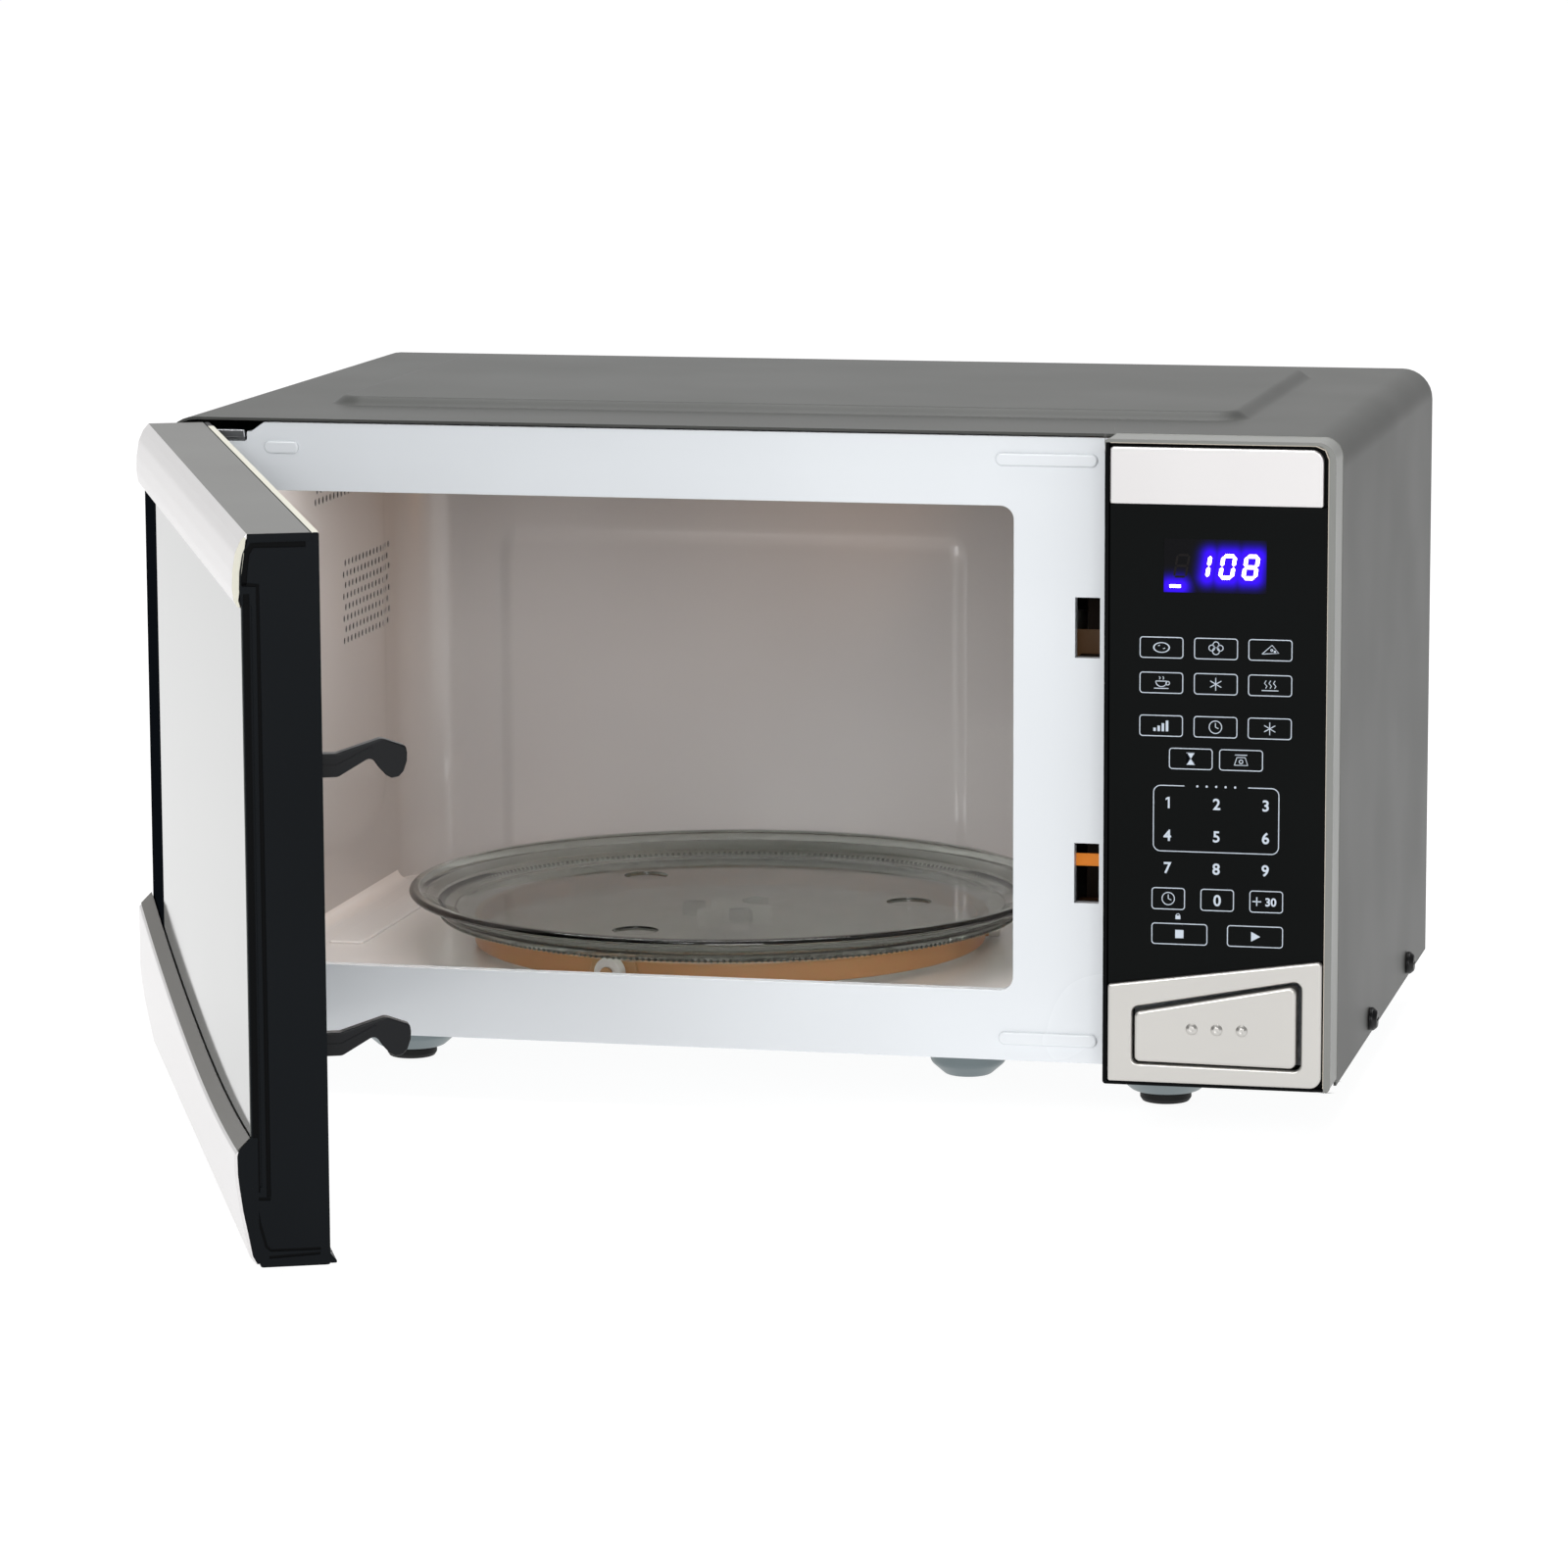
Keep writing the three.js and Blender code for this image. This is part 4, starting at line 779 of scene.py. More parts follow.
def control_housing():
    s = Span("control_housing")
    front, recess = s.y0, s.y0 + 2.5
    inner_x, inner_z = s.x1 - 2.1, s.z1 - 0.8
    edge = [(s.x0, inner_z), (inner_x, inner_z), (inner_x, s.z0), (s.x1, s.z0), (s.x1, s.z1),
            (s.x0, s.z1)]
    rim = plate([rounded(edge, [0.2, 4.8, 0.4, 2, 6.5, 1.2], 8)], front, -1.2, "y", 0.2, 2)
    # painted shade: the rim's left and bottom front faces are drawn near black for the shadow there
    edge = [(s.x0, s.z0), (inner_x - 0.2, s.z0), (inner_x - 0.2, s.z0 + 1.1), (s.x0 + 1.5, s.z0 + 1.1),
            (s.x0 + 1.5, inner_z - 0.2), (s.x0, inner_z - 0.2)]
    painted_shade_rim = plate([rounded(edge, [1.2, 0.3, 0.2, 0.4, 0.2, 0.2], 5)], front, -0.3, "y", 0.2, 2)
    # painted highlight: a light beige line along the rim's top and right inner edges, for light on their bevel
    edge = [(s.x0 + 2, inner_z - 0.25), (inner_x - 5, inner_z - 0.25), (inner_x - 1.6, inner_z - 1.7),
            (inner_x - 0.25, inner_z - 5), (inner_x - 0.25, s.z0 + 1.4)]
    line = plate([stroke(edge, 0.35)], front + 0.05, front + 1.6, "y", 0.02, 0)
    button = Span("release_button")
    display = Span("display_window")
    opening = [(button.x0 - 1, button.z0 - 1), (button.x1 + 1, button.z0 - 1.4),
               (button.x1 + 1, button.z1 + 1), (button.x0 - 1, button.z1 - 11)]
    screen = rectangle(display.x0 + 0.7, display.x1 - 0.7, display.z0 + 0.7, display.z1 - 0.7)
    wall = plate([rounded(rectangle(s.x0 + 1, s.x1 - 1.6, s.z0 + 0.6, s.z1 - 1), 3), opening, screen],
                 recess, recess + 2.2, "y", 0.1)
    collar = plate([rounded(rectangle(s.x0 + 0.6, 438.4, 24, 243), 3),
                    rounded(rectangle(s.x0 + 2.4, 436.6, 25.8, 241.2), 2)], -2.4, s.y1, "y", 0.2)
    piece("control_housing_shell", rim, "cabinet", "grey_bezel", ["control_housing"])
    # painted shade: the recessed wall, the left and bottom rim and the collar take the near-black shadow look
    piece("control_housing_painted_shade", together(wall, painted_shade_rim, collar), "cabinet", "black_plastic",
          look="gap")
    piece("control_housing_painted_highlight", line, "cabinet", "grey_bezel", look="painted_bevel_highlight")


def membrane():
    s = Span("keypad_membrane")
    display = Span("display_window")
    left, right, top = s.x0, s.x1, s.z1
    low = s.z0
    face = rounded([(left, low), (right, low + PANEL_CLIMB), (right, top), (left, top)], 0.5, 3)
    window = rectangle(display.x0 + 0.3, display.x1 - 0.3, display.z0 + 0.3, display.z1 - 0.3)
    piece("keypad_sheet", plate([face, window], s.y0, s.y1, "y", 0.03, 1), "cabinet", "black_gloss",
          ["keypad_membrane"])


def ring(x0, x1, z0, z1, radius, line=0.32):
    """The outline of a key: a rounded rectangle and the same one inside it."""
    return [round_rectangle(x0, x1, z0, z1, radius, 5),
            round_rectangle(x0 + line, x1 - line, z0 + line, z1 - line, max(radius - line, 0.1), 5)]


def stroke(points, wide):
    """Outline of a line of one width along a chain of points."""
    left, right = [], []
    for i, point in enumerate(points):
        here = Vector(point)
        before = (here - Vector(points[i - 1])).normalized() if i else None
        after = (Vector(points[i + 1]) - here).normalized() if i + 1 < len(points) else None
        along = (before or after) if not (before and after) else (before + after).normalized()
        side = Vector((-along.y, along.x)) * wide / 2
        left.append(tuple(here + side))
        right.append(tuple(here - side))
    return left + right[::-1]


def icon_shapes(kind, x, z):
    """Plain pictures about a point: lists of outlines, each list one printed mark."""
    def arc(cx, cz, r, start, end, steps=14, squash=1.0):
        return [(x + cx + r * squash * math.cos(math.radians(start + (end - start) * k / steps)),
                 z + cz + r * math.sin(math.radians(start + (end - start) * k / steps)))
                for k in range(steps + 1)]

    def line(*points, wide=0.3):
        return [stroke([(x + a, z + b) for a, b in points], wide)]

    def disc(cx, cz, r, squash=1.0, wide=0.3):
        return [circle(x + cx, z + cz, r, 24, squash), circle(x + cx, z + cz, r - wide, 24, squash)]

    if kind == "potato":
        return [disc(0, 0, 1.9, 1.6), line((-1.2, 0.6), (-0.6, 0.8)), line((0.6, -0.4), (1.3, -0.2))]
    if kind == "corn":
        return [disc(-1.5, 0.3, 1.2), disc(1.5, 0.3, 1.2), disc(0, 1.5, 1.2), disc(0, -0.8, 1.4)]
    if kind == "slice":
        return [line((-3, -1.4), (3, -1.0), (0.6, 1.8), (-3, -1.4)), disc(0.5, 0.0, 0.5),
                disc(1.6, -0.5, 0.4)]
    if kind == "cup":
        bowl = [(x - 2, z + 0.6)] + arc(0, 0.6, 2.0, 180, 360) + [(x + 2, z + 0.6)]
        return [[stroke(bowl, 0.3)], line((-2, 0.6), (2, 0.6)), disc(2.3, -0.1, 0.8),
                line((-2.6, -2), (2.6, -2)), line((-0.7, 1.2), (-0.4, 1.7), (-0.8, 2.3)),
                line((0.6, 1.2), (0.9, 1.7), (0.5, 2.3))]
    if kind == "frost":
        marks = []
        for turn in (0, 60, 120):
            a, b = (2.3 * f(math.radians(turn + 90)) for f in (math.cos, math.sin))
            marks.append(line((a, b), (-a, -b)))
        return marks
    if kind == "steam":
        waves = [line((c, -1.0), (c + 0.5, -0.2), (c - 0.4, 0.8), (c + 0.2, 1.8)) for c in (-1.6, 0, 1.6)]
        return waves + [line((-3, -1.8), (3, -1.8))]
    if kind == "power":
        return [[rectangle(x + a, x + a + 0.9, z - 2, z - 2 + h)] for a, h in
                ((-2.8, 1.2), (-1.3, 2.0), (0.2, 2.9), (1.7, 3.9))]
    if kind == "clock":
        return [disc(0, 0, 2.4), line((0, 0), (0, 1.5)), line((0, 0), (1.1, -0.5))]
    if kind == "sand":
        return [line((-1.5, 2.2), (1.5, 2.2), (-1.5, -2.2), (1.5, -2.2), (-1.5, 2.2))]
    if kind == "scale":
        return [line((-2.4, -1.8), (2.4, -1.8), (1.5, 1.0), (-1.5, 1.0), (-2.4, -1.8)),
                disc(0, -0.5, 0.8), line((-2.2, 1.9), (2.2, 1.9))]
    if kind == "stop":
        return [[rectangle(x - 1.5, x + 1.5, z - 1.5, z + 1.5)]]
    if kind == "start":
        return [[[(x - 1.4, z - 1.8), (x + 1.9, z), (x - 1.4, z + 1.8)]]]
    if kind == "plus":
        return [[rectangle(x - 1.6, x + 1.6, z - 0.2, z + 0.2)],
                [rectangle(x - 0.2, x + 0.2, z - 1.6, z + 1.6)]]
    if kind == "lock":
        return [[rectangle(x - 0.9, x + 0.9, z - 0.9, z + 0.4)],
                [stroke(arc(0, 0.4, 0.65, 0, 180), 0.25)]]
    return []


def digit(text, x, z, height, low, high):
    """A printed digit centred on a point."""
    if text == "1":
        bar, half = 0.16 * height, height / 2
        flag = [(0.1, -half), (0.1 + bar, -half), (0.1 + bar, half), (0.1, half), (-0.7, half - 0.55),
                (-0.7, half - 1.15), (0.1, half - 0.75)]
        return plate([[(x + a, z + b) for a, b in flag]], low, high, "y", 0.01, 0)
    curve = bpy.data.curves.new("digit", "FONT")
    curve.body = text
    curve.size = height / 0.73
    curve.align_x = "CENTER"
    curve.extrude = (high - low) / 2
    curve.offset = 0.11
    curve.resolution_u = 6
    source = bpy.data.objects.new("digit", curve)
    mesh = bpy.data.meshes.new_from_object(source)
    bpy.data.objects.remove(source)
    mesh.transform(at((x, (low + high) / 2, z - height / 2), QUARTER, "X"))
    return closed(mesh)


def keypad_print():
    """Key outlines, digits and plain pictures printed on the keypad."""
    s = Span("keypad_membrane")
    left, top = s.x0, s.z1
    back = s.y0 + 0.02
    front = s.y0 - 0.05
    marks = []

    def mark(loops):
        marks.append(plate(loops, front, back, "y", 0.01, 0))

    def key(x, down, wide, tall, icon="", radius=1.2):
        cx, cz = left + x + wide / 2, top - down - tall / 2
        mark(ring(cx - wide / 2, cx + wide / 2, cz - tall / 2, cz + tall / 2, radius))
        for loops in icon_shapes(icon, cx, cz):
            mark(loops)
        return cx, cz

    columns, wide, tall = (10.8, 30.4, 49.9), 15.75, 7.7
    for down, icons in ((47.2, ("potato", "corn", "slice")), (59.9, ("cup", "frost", "steam")),
                        (75.4, ("power", "clock", "frost"))):
        for x, icon in zip(columns, icons):
            key(x, down, wide, tall, icon)
    key(21.6, 87.1, wide, tall, "sand")
    key(39.7, 87.1, wide, tall, "scale")
    express = {"x0": left + 16.1, "x1": left + 61.3, "z0": top - 124.6, "z1": top - 100.8}
    gap = 11.5
    middle = (express["x0"] + express["x1"]) / 2
    loop = round_rectangle(express["x0"], express["x1"], express["z0"], express["z1"], 2.6, 6)
    lower_left, lower_right, upper_right, upper_left = (loop[k:k + 7] for k in (0, 7, 14, 21))
    chain = ([(middle - gap, express["z1"])] + upper_left + lower_left + lower_right + upper_right
             + [(middle + gap, express["z1"])])
    mark([stroke(chain, 0.32)])
    for k in range(-2, 3):
        mark([circle(middle + 3.4 * k, express["z1"], 0.42, 16)])
    for index, text in enumerate("123456789"):
        x = left + 21.2 + 17.7 * (index % 3)
        z = top - 107.0 - 11.75 * (index // 3)
        marks.append(digit(text, x, z, 4.1, front, back))
    key(15.6, 137.9, 12.1, 8, "clock")
    x, z = key(33.3, 137.9, 12.1, 8)
    marks.append(digit("0", x, z, 4.1, front, back))
    x, z = key(51.0, 137.9, 12.1, 8, "")
    marks.append(digit("30", x + 1.6, z, 3.0, front, back))
    for loops in icon_shapes("plus", x - 3.4, z):
        mark(loops)
    key(15.6, 150.8, 20.3, 7.8, "stop")
    key(43.0, 150.8, 20.2, 7.8, "start")
    for loops in icon_shapes("lock", left + 25.2, top - 148.4):
        mark(loops)
    piece("keypad_print", together(*marks), "cabinet", "white_plastic", look="print")


SEGMENTS = {"0": "abcdef", "1": "bc", "8": "abcdefg"}


def seven_segment(text, x, z, wide, tall, bar, slant):
    """Outlines of one display digit's lit bars, and the middle line of each bar."""
    half, gap = tall / 2, 0.14
    lines = {"a": ((0, tall), (wide, tall)), "b": ((wide, half), (wide, tall)),
             "c": ((wide, 0), (wide, half)), "d": ((0, 0), (wide, 0)),
             "e": ((0, 0), (0, half)), "f": ((0, half), (0, tall)), "g": ((0, half), (wide, half))}
    outlines, middles = [], []
    for name in SEGMENTS[text]:
        (a0, b0), (a1, b1) = lines[name]
        along = Vector((a1 - a0, b1 - b0))
        unit = along.normalized()
        side = Vector((-unit.y, unit.x)) * bar / 2
        start = Vector((a0, b0)) + unit * gap
        end = Vector((a1, b1)) - unit * gap
        points = [start, start + unit * bar / 2 + side, end - unit * bar / 2 + side, end,
                  end - unit * bar / 2 - side, start + unit * bar / 2 - side]
        outlines.append([(x + p.x + slant * p.y, z + p.y) for p in points])
        middles.append([(x + p.x + slant * p.y, z + p.y) for p in (start, end)])
    return outlines, middles


def display():
    """Smoked window with lit digits, their painted glow, unlit digits and a lit indicator bar."""
    s = Span("display_window")
    face = s.y0 + 0.02
    bars, lit_lines = [], []
    base, tall = s.z0 + 5.9, 7.8
    for text, offset in (("1", 11.6), ("0", 20.5), ("8", 28.8)):
        outlines, middles = seven_segment(text, s.x0 + offset, base, 4.2, tall, 1.35, 0.16)
        bars += outlines
        lit_lines += middles
    unlit, _ = seven_segment("8", s.x0 + 4.0, base, 4.2, tall, 0.8, 0.16)
    indicator = (s.x0 + 2.4, s.x0 + 6.4, s.z0 + 2.5)
    bars.append(rectangle(indicator[0], indicator[1], indicator[2] - 0.55, indicator[2] + 0.55))
    lit_lines.append([(indicator[0], indicator[2]), (indicator[1], indicator[2])])

    def distance(px, pz):
        nearest = 99.0
        for (ax, az), (bx, bz) in lit_lines:
            along = (bx - ax, bz - az)
            size = along[0] ** 2 + along[1] ** 2
            t = min(max(((px - ax) * along[0] + (pz - az) * along[1]) / size, 0), 1)
            nearest = min(nearest, math.hypot(px - ax - t * along[0], pz - az - t * along[1]))
        return nearest

    xs = stops((s.x0, s.x1, 110))
    zs = stops((s.z0, s.z1, 58))
    pane = grid(xs, zs, lambda x, z: (x, face, z))
    pane = closed(modified(pane, "SOLIDIFY", thickness=s.y1 - face, offset=-1.0))
    glow = pane.attributes.new(GLOW, "FLOAT", "POINT")
    spread = 2.8
    for vertex, value in zip(pane.vertices, glow.data):
        value.value = math.exp(-((distance(vertex.co.x, vertex.co.z) / spread) ** 2))
    piece("display_pane", pane, "cabinet", "black_gloss", ["display_window"], look="halo")
    lit = together(*[plate([bar], face - 0.06, face + 0.02, "y", 0.02, 0) for bar in bars])
    piece("display_digits", lit, "cabinet", "lamp_glass", look="digits")
    dark = together(*[plate([bar], face - 0.03, face + 0.02, "y", 0.01, 0) for bar in unlit])
    piece("display_unlit_segments", dark, "cabinet", "black_gloss", look="unlit")


def panel_trims():
    s = Span("panel_top_trim")
    face = rounded(rectangle(s.x0, s.x1 - 1.9, s.z0, s.z1 - 0.6), [0.8, 0.8, 4.2, 1.2], 8)
    piece("panel_top_plate", plate([face], s.y0, s.y1, "y", 0.55, 4), "cabinet", "silver_paint",
          ["panel_top_trim"])

    s = Span("panel_lower_trim")
    button = Span("release_button")
    right = s.x1 - 0.7
    outside = rounded([(s.x0, s.z0), (right, s.z0), (right, s.z1), (s.x0, s.z1 - PANEL_CLIMB)],
                      [0.9, 4.2, 1.6, 0.9], 8)
    hole = rounded(button_outline(button, 1.0), [2.2, 2.6, 2.6, 2.2], 6)
    piece("panel_lower_frame", plate([outside, hole], s.y0, s.y1, "y", 0.9, 4), "cabinet",
          "silver_paint", ["panel_lower_trim"], look="silver_frame")


def button_outline(s, grow):
    """The button's sloping outline: low on its left, tall on its right."""
    return [(s.x0 - grow, s.z0 + 0.6 - grow), (s.x1 + grow, s.z0 - grow),
            (s.x1 + grow, s.z1 + grow), (s.x0 - grow, s.z1 - 11.6 + grow)]


def release_button():
    s = Span("release_button")
    front = s.y0 + 0.6
    corners = [(s.x0, s.z0 + 0.6), (s.x1 - 0.7, s.z0), (s.x1 - 0.7, s.z1 - 0.6), (s.x0, s.z1 - 12.2)]
    cap = plate([rounded(corners, [2.0, 2.4, 2.4, 2.0], 6)], front, front + 7.3, "y", 1.1, 5)
    stem = block(380, 388, front + 7, s.y1, 38, 46, 0.4)
    wedge = plate([rounded([(s.y1 - 6, 45.5), (s.y1, 45.5), (s.y1, 46), (s.y1 - 6, 52), (s.y1 - 10, 52),
                            (s.y1 - 10, 45.5)], 0.2, 2)], 380, 388, "x", 0.3)
    middle = (s.x0 + s.x1) / 2 + 0.3
    pips = []
    for k in (-1, 0, 1):
        dome = turned(rounded([(0, 0.6), (2.3, 0.6), (2.1, -0.2), (1.0, -1.0), (0, -0.7)],
                              [0, 0.2, 0.8, 0.5, 0], 4), (0, 0), 40, "z")
        pips.append(moved(dome, at((middle + 9.05 * k, front - 0.05, 42.5), -QUARTER, "X")))
    piece("release_button_cap", together(cap, *pips), "release_button", "silver_paint",
          ["release_button"], look="silver_frame")
    piece("release_button_stem", together(stem, wedge), "release_button", "white_plastic")


# ---------- door, drawn closed ----------

def outward(points):
    """Points of (distance out from the cabinet, height) as (y, z)."""
    return [(-out, z) for out, z in points]


def ribbon(points, wide, low, high, axis="x"):
    return plate([stroke(points, wide)], low, high, axis, 0.05, 0)


def door_frame():
    s = Span("door_frame", DOOR)
    x0, x1 = s.x0, s.x1
    section = rounded(outward([
        (1.8, s.z0), (24.2, s.z0), (26.6, 30), (26.6, 43.6), (23.3, 43.6), (23.3, 230.2), (26.7, 230.2),
        (27.2, 235.5), (27, 241), (26.1, 246.3), (24.1, 251), (4.1, 251), (4.1, s.z1), (1.8, s.z1),
    ]), [0.8, 1, 2, 0.5, 0.2, 0.2, 0.5, 2, 3, 3, 1, 0.3, 0.6, 0.6], 3)
    body = plain([section], x0, x1, "x")
    strip = block(x0 + 0.5, 49.7, -26.3, -22.8, 43, 231, 0.4)
    side = block(x0 - 0.08, x0 + 0.3, -26.4, -2.2, 30, 231, 0.04)
    lip = plate([rounded([(-2.5, s.z0 + 0.4), (0.3, s.z0 + 0.4), (0.3, s.z0 + 1.2), (-2.2, s.z0 + 4.2),
                          (-2.5, s.z0 + 4.2)], 0.3, 2)], 30, x1 - 0.1, "x", 0.25)
    hollow = cuboid(20, 351.6, -20.8, 5, 21.6, 248)
    low_side = cuboid(5.8, 30, -20.8, 5, 36, 232)
    window = plain([round_rectangle(*DOOR_WINDOW, 6)], -30, 0)
    slots = [cuboid(-5, 14.4, -23.9, 5, low, high) for low, high in ((244.9, 248.1), (19.5, 23.2))]
    shell = carved(body, hollow, low_side, window, *slots)
    grooves = [
        # under the top trim, down its inner side, and the step to the glass
        ([(-6.0, 249.3), (-22.9, 249.3), (-24.7, 246.6), (-25.4, 241.0), (-25.7, 236.6)], 1.9),
        ([(-26.2, 237.0), (-21.4, 236.6), (-21.3, 150.0), (-21.2, 40.4)], 1.4),
        ([(-25.0, 234.0), (-24.9, 42.0)], 2.0),
        ([(-26.0, 39.9), (-20.6, 39.7)], 1.1),
        ([(-25.2, 38.2), (-24.3, 32.0), (-22.2, 24.2), (-20.8, 22.9), (-4.8, 22.8)], 0.9),
        ([(-21.4, 20.6), (-5.0, 21.3)], 0.9),
    ]
    cutters = [plain([stroke(points, wide)], x1 - 0.9, x1 + 2, "x") for points, wide in grooves]
    shell = carved(softened(shell, 0.35), *cutters)
    end = block(x1 - 1.25, x1 - 0.5, -26.4, -23, 43.5, 230.3, 0.2)
    flange_end = block(x1 - 0.5, x1 + 0.05, -24.5, -4.0, 250.3, s.z1 - 0.05, 0.1)
    piece("door_frame_shell", together(shell, lip, end, flange_end), "door", "black_gloss",
          ["door_frame"], DOOR, look="door_black")
    # painted shadow: near-black inlays at the bottom of the grooves
    inlays = [plain([stroke(points, wide - 0.1)], x1 - 0.95, x1 - 0.3, "x") for points, wide in grooves]
    piece("door_frame_grooves", together(*inlays), "door", "black_gloss", space=DOOR, look="gap")
    piece("door_frame_shut_side", together(side, strip), "door", "black_gloss", space=DOOR,
          look="shut_side")
    # painted reflection: a cream strip on the frame's glossy top, for the light it reflects
    highlight_strip = block(x0 + 14.5, x1 - 0.1, -4.0, -1.9, s.z1 - 0.1, s.z1 + 0.08, 0.04)
    piece("door_edge_painted_highlight", highlight_strip, "door", "silver_paint", space=DOOR, look="painted_edge_highlight")


def door_glass():
    s = Span("door_glass", DOOR)
    pane = plate([round_rectangle(s.x0, s.x1 - 1.3, s.z0, s.z1, 0.6, 3)], s.y0, s.y1, "y", 0.35, 3)
    piece("door_glass_pane", pane, "door", "mirror_glass", ["door_glass"], DOOR)


def door_top_trim():
    s = Span("door_top_trim", DOOR)
    sheet = outward([
        (4.4, s.z1), (24.6, s.z1), (26.6, 250.6), (28.3, 246.8), (29.2, 241), (29.4, 235.5), (28.9, 231.7),
        (27.6, s.z0), (26.9, s.z0), (27.5, 231.9), (27.6, 235.5), (27.4, 241), (26.5, 246.5), (24.6, 251.3),
        (4.4, 251.3),
    ])
    radii = [0.4, 0.45, 3, 8, 12, 8, 3, 0.3, 0.3, 2, 6, 8, 4, 0.4, 0.2]
    mesh = plate([rounded(sheet, radii, 5)], s.x0, s.x1, "x", 0.2, 2)
    piece("door_top_trim_bar", mesh, "door", "silver_paint", ["door_top_trim"], DOOR,
          sharp=25)
    # painted shade: a thin sheet drawing the trim's top face darker than its silver front
    cap = block(s.x0 + 0.1, s.x1 - 0.05, -24.5, -4.5, s.z1 - 0.1, s.z1 + 0.06, 0.04)
    piece("door_top_trim_painted_shade", cap, "door", "silver_paint", space=DOOR, look="painted_shade_top")
    # painted highlight: a cream line on the end of the trim's curled front
    curl = rounded(sheet[1:10], radii[1:10], 5)
    edge = plate([curl], s.x1 - 0.3, s.x1 + 0.1, "x", 0.05, 1)
    piece("door_top_trim_painted_highlight", edge, "door", "silver_paint", space=DOOR, look="painted_edge_highlight")


def door_lower_trim():
    """A bar whose top edge is one long shallow arc with a leaning face behind its ridge."""
    s = Span("door_lower_trim", DOOR)
    middle, lowest, radius = 276.8, 53.3, 1440

    def ridge(x):
        arc = lowest + radius - math.sqrt(radius ** 2 - (x - middle) ** 2)
        return arc - 6.8 * max(0.0, (213 - x) / 211) ** 2

    face = [(25.4, 18.4), (27.4, 20.8), (28.9, 28.5), (30.3, 35.7), (31.3, 43.0), (31.8, 48)]
    xs = stops((s.x0, s.x0 + 1, 2), (s.x0 + 1, s.x1 - 1, 60), (s.x1 - 1, s.x1, 2))

    def ring_at(x):
        top = ridge(x)
        end = min(x - s.x0, s.x1 - x)
        tuck = 0.45 * max(0.0, 1 - end) ** 2
        points = [(24.6, 18.4)] + face
        crest = [(31.9, 50.5), (31.9, top - 1.2), (31.7, top - 0.5), (31.2, top - 0.05),
                 (30.6, top + 0.3)]
        slope = [(29.6, top + 1.3), (28.4, top + 2.5), (27.4, top + 3.6), (26.9, top + 4.4), (26.9, 30)]
        chain = points + crest + slope
        return [(x, -(out - (tuck if out > 27 else 0)), z) for out, z in chain]

    shape = bmesh.new()
    rings = [[shape.verts.new(point) for point in ring_at(x)] for x in xs]
    count = len(rings[0])
    for one, two in zip(rings, rings[1:]):
        for k in range(count):
            shape.faces.new((one[k], two[k], two[(k + 1) % count], one[(k + 1) % count]))
    shape.faces.new(rings[0])
    shape.faces.new(rings[-1][::-1])
    mesh = bpy.data.meshes.new("lower_trim")
    shape.to_mesh(mesh)
    shape.free()
    piece("door_lower_trim_bar", closed(mesh), "door", "silver_paint",
          ["door_lower_trim"], DOOR, sharp=28)

    top = ridge(s.x1)
    backing = outward([(24.4, 18.6), (25.2, 18.6), (26.6, 21.2), (28.0, 28.8), (29.4, 35.9),
                       (30.4, 43.2), (30.9, 48), (31.0, top - 1.6), (30.6, top + 0.1),
                       (26.9, top + 4.3), (24.4, top + 4.3)])
    backing = plate([rounded(backing, 0.3, 3)], s.x1 - 0.3, s.x1 + 0.15, "x", 0.06, 1)
    piece("door_lower_trim_backing", backing, "door", "black_gloss", space=DOOR, look="door_black")

    # painted shade: a thin darker sheet over the silver face leaning back behind the ridge
    def along_slope(x, t):
        height = ridge(x)
        out, z = 30.9 + (26.95 - 30.9) * t, height + 0.3 + (4.3 - 0.3) * t
        return (x, -out - 0.08, z + 0.08)

    back = grid(xs, [k / 6 for k in range(7)], along_slope)
    back = modified(back, "SOLIDIFY", thickness=0.12, offset=0)
    piece("door_lower_trim_painted_shade", closed(back), "door", "silver_paint", space=DOOR, look="painted_shade_slope")


def door_inside():
    s = Span("door_inner_cover", DOOR)
    window = round_rectangle(*DOOR_WINDOW, 6, 8)
    slots = [round_rectangle(343.8, 350.0, z - 1, z + 19, 0.8, 3) for z in HOOK_BOTTOMS]
    face = [(s.x0 + 14, s.z0), (s.x1, s.z0), (s.x1, s.z1), (s.x0 + 14.2, s.z1), (s.x0 + 14.2, 231.4),
            (s.x0, 231.4), (s.x0, 36.6), (s.x0 + 14, 36.6)]
    cover = plate([rounded(face, 1.0, 3), window, *slots], s.y0, s.y1, "y", 0.3, 2)
    border = [round_rectangle(54, 318, 62, 230, 9, 8), round_rectangle(60.5, 311.5, 68.5, 223.5, 6.5, 8)]
    border = plate(border, s.y1 - 0.2, s.y1 + 0.35, "y", 0.25, 3)
    piece("door_inner_panel", together(cover, border), "door", "door_inner_paint",
          ["door_inner_cover"], DOOR)
    s = Span("door_inner_window", DOOR)
    pane = plate([round_rectangle(s.x0, s.x1, s.z0, s.z1, 5.6, 8)], s.y0, s.y1, "y", 0.2, 2)
    piece("door_inner_screen", pane, "door", "inner_film", ["door_inner_window"], DOOR)


HOOK = [(-5.3, 0.8), (7.4, 0.8), (18.1, 7), (20.6, 3.3), (22.7, 1), (24.5, 0), (26.8, 0.4), (28.4, 2.1),
        (29.5, 5.4), (29.6, 8), (29.2, 10.2), (21.5, 13), (7.1, 8.5), (-5.3, 8.5)]


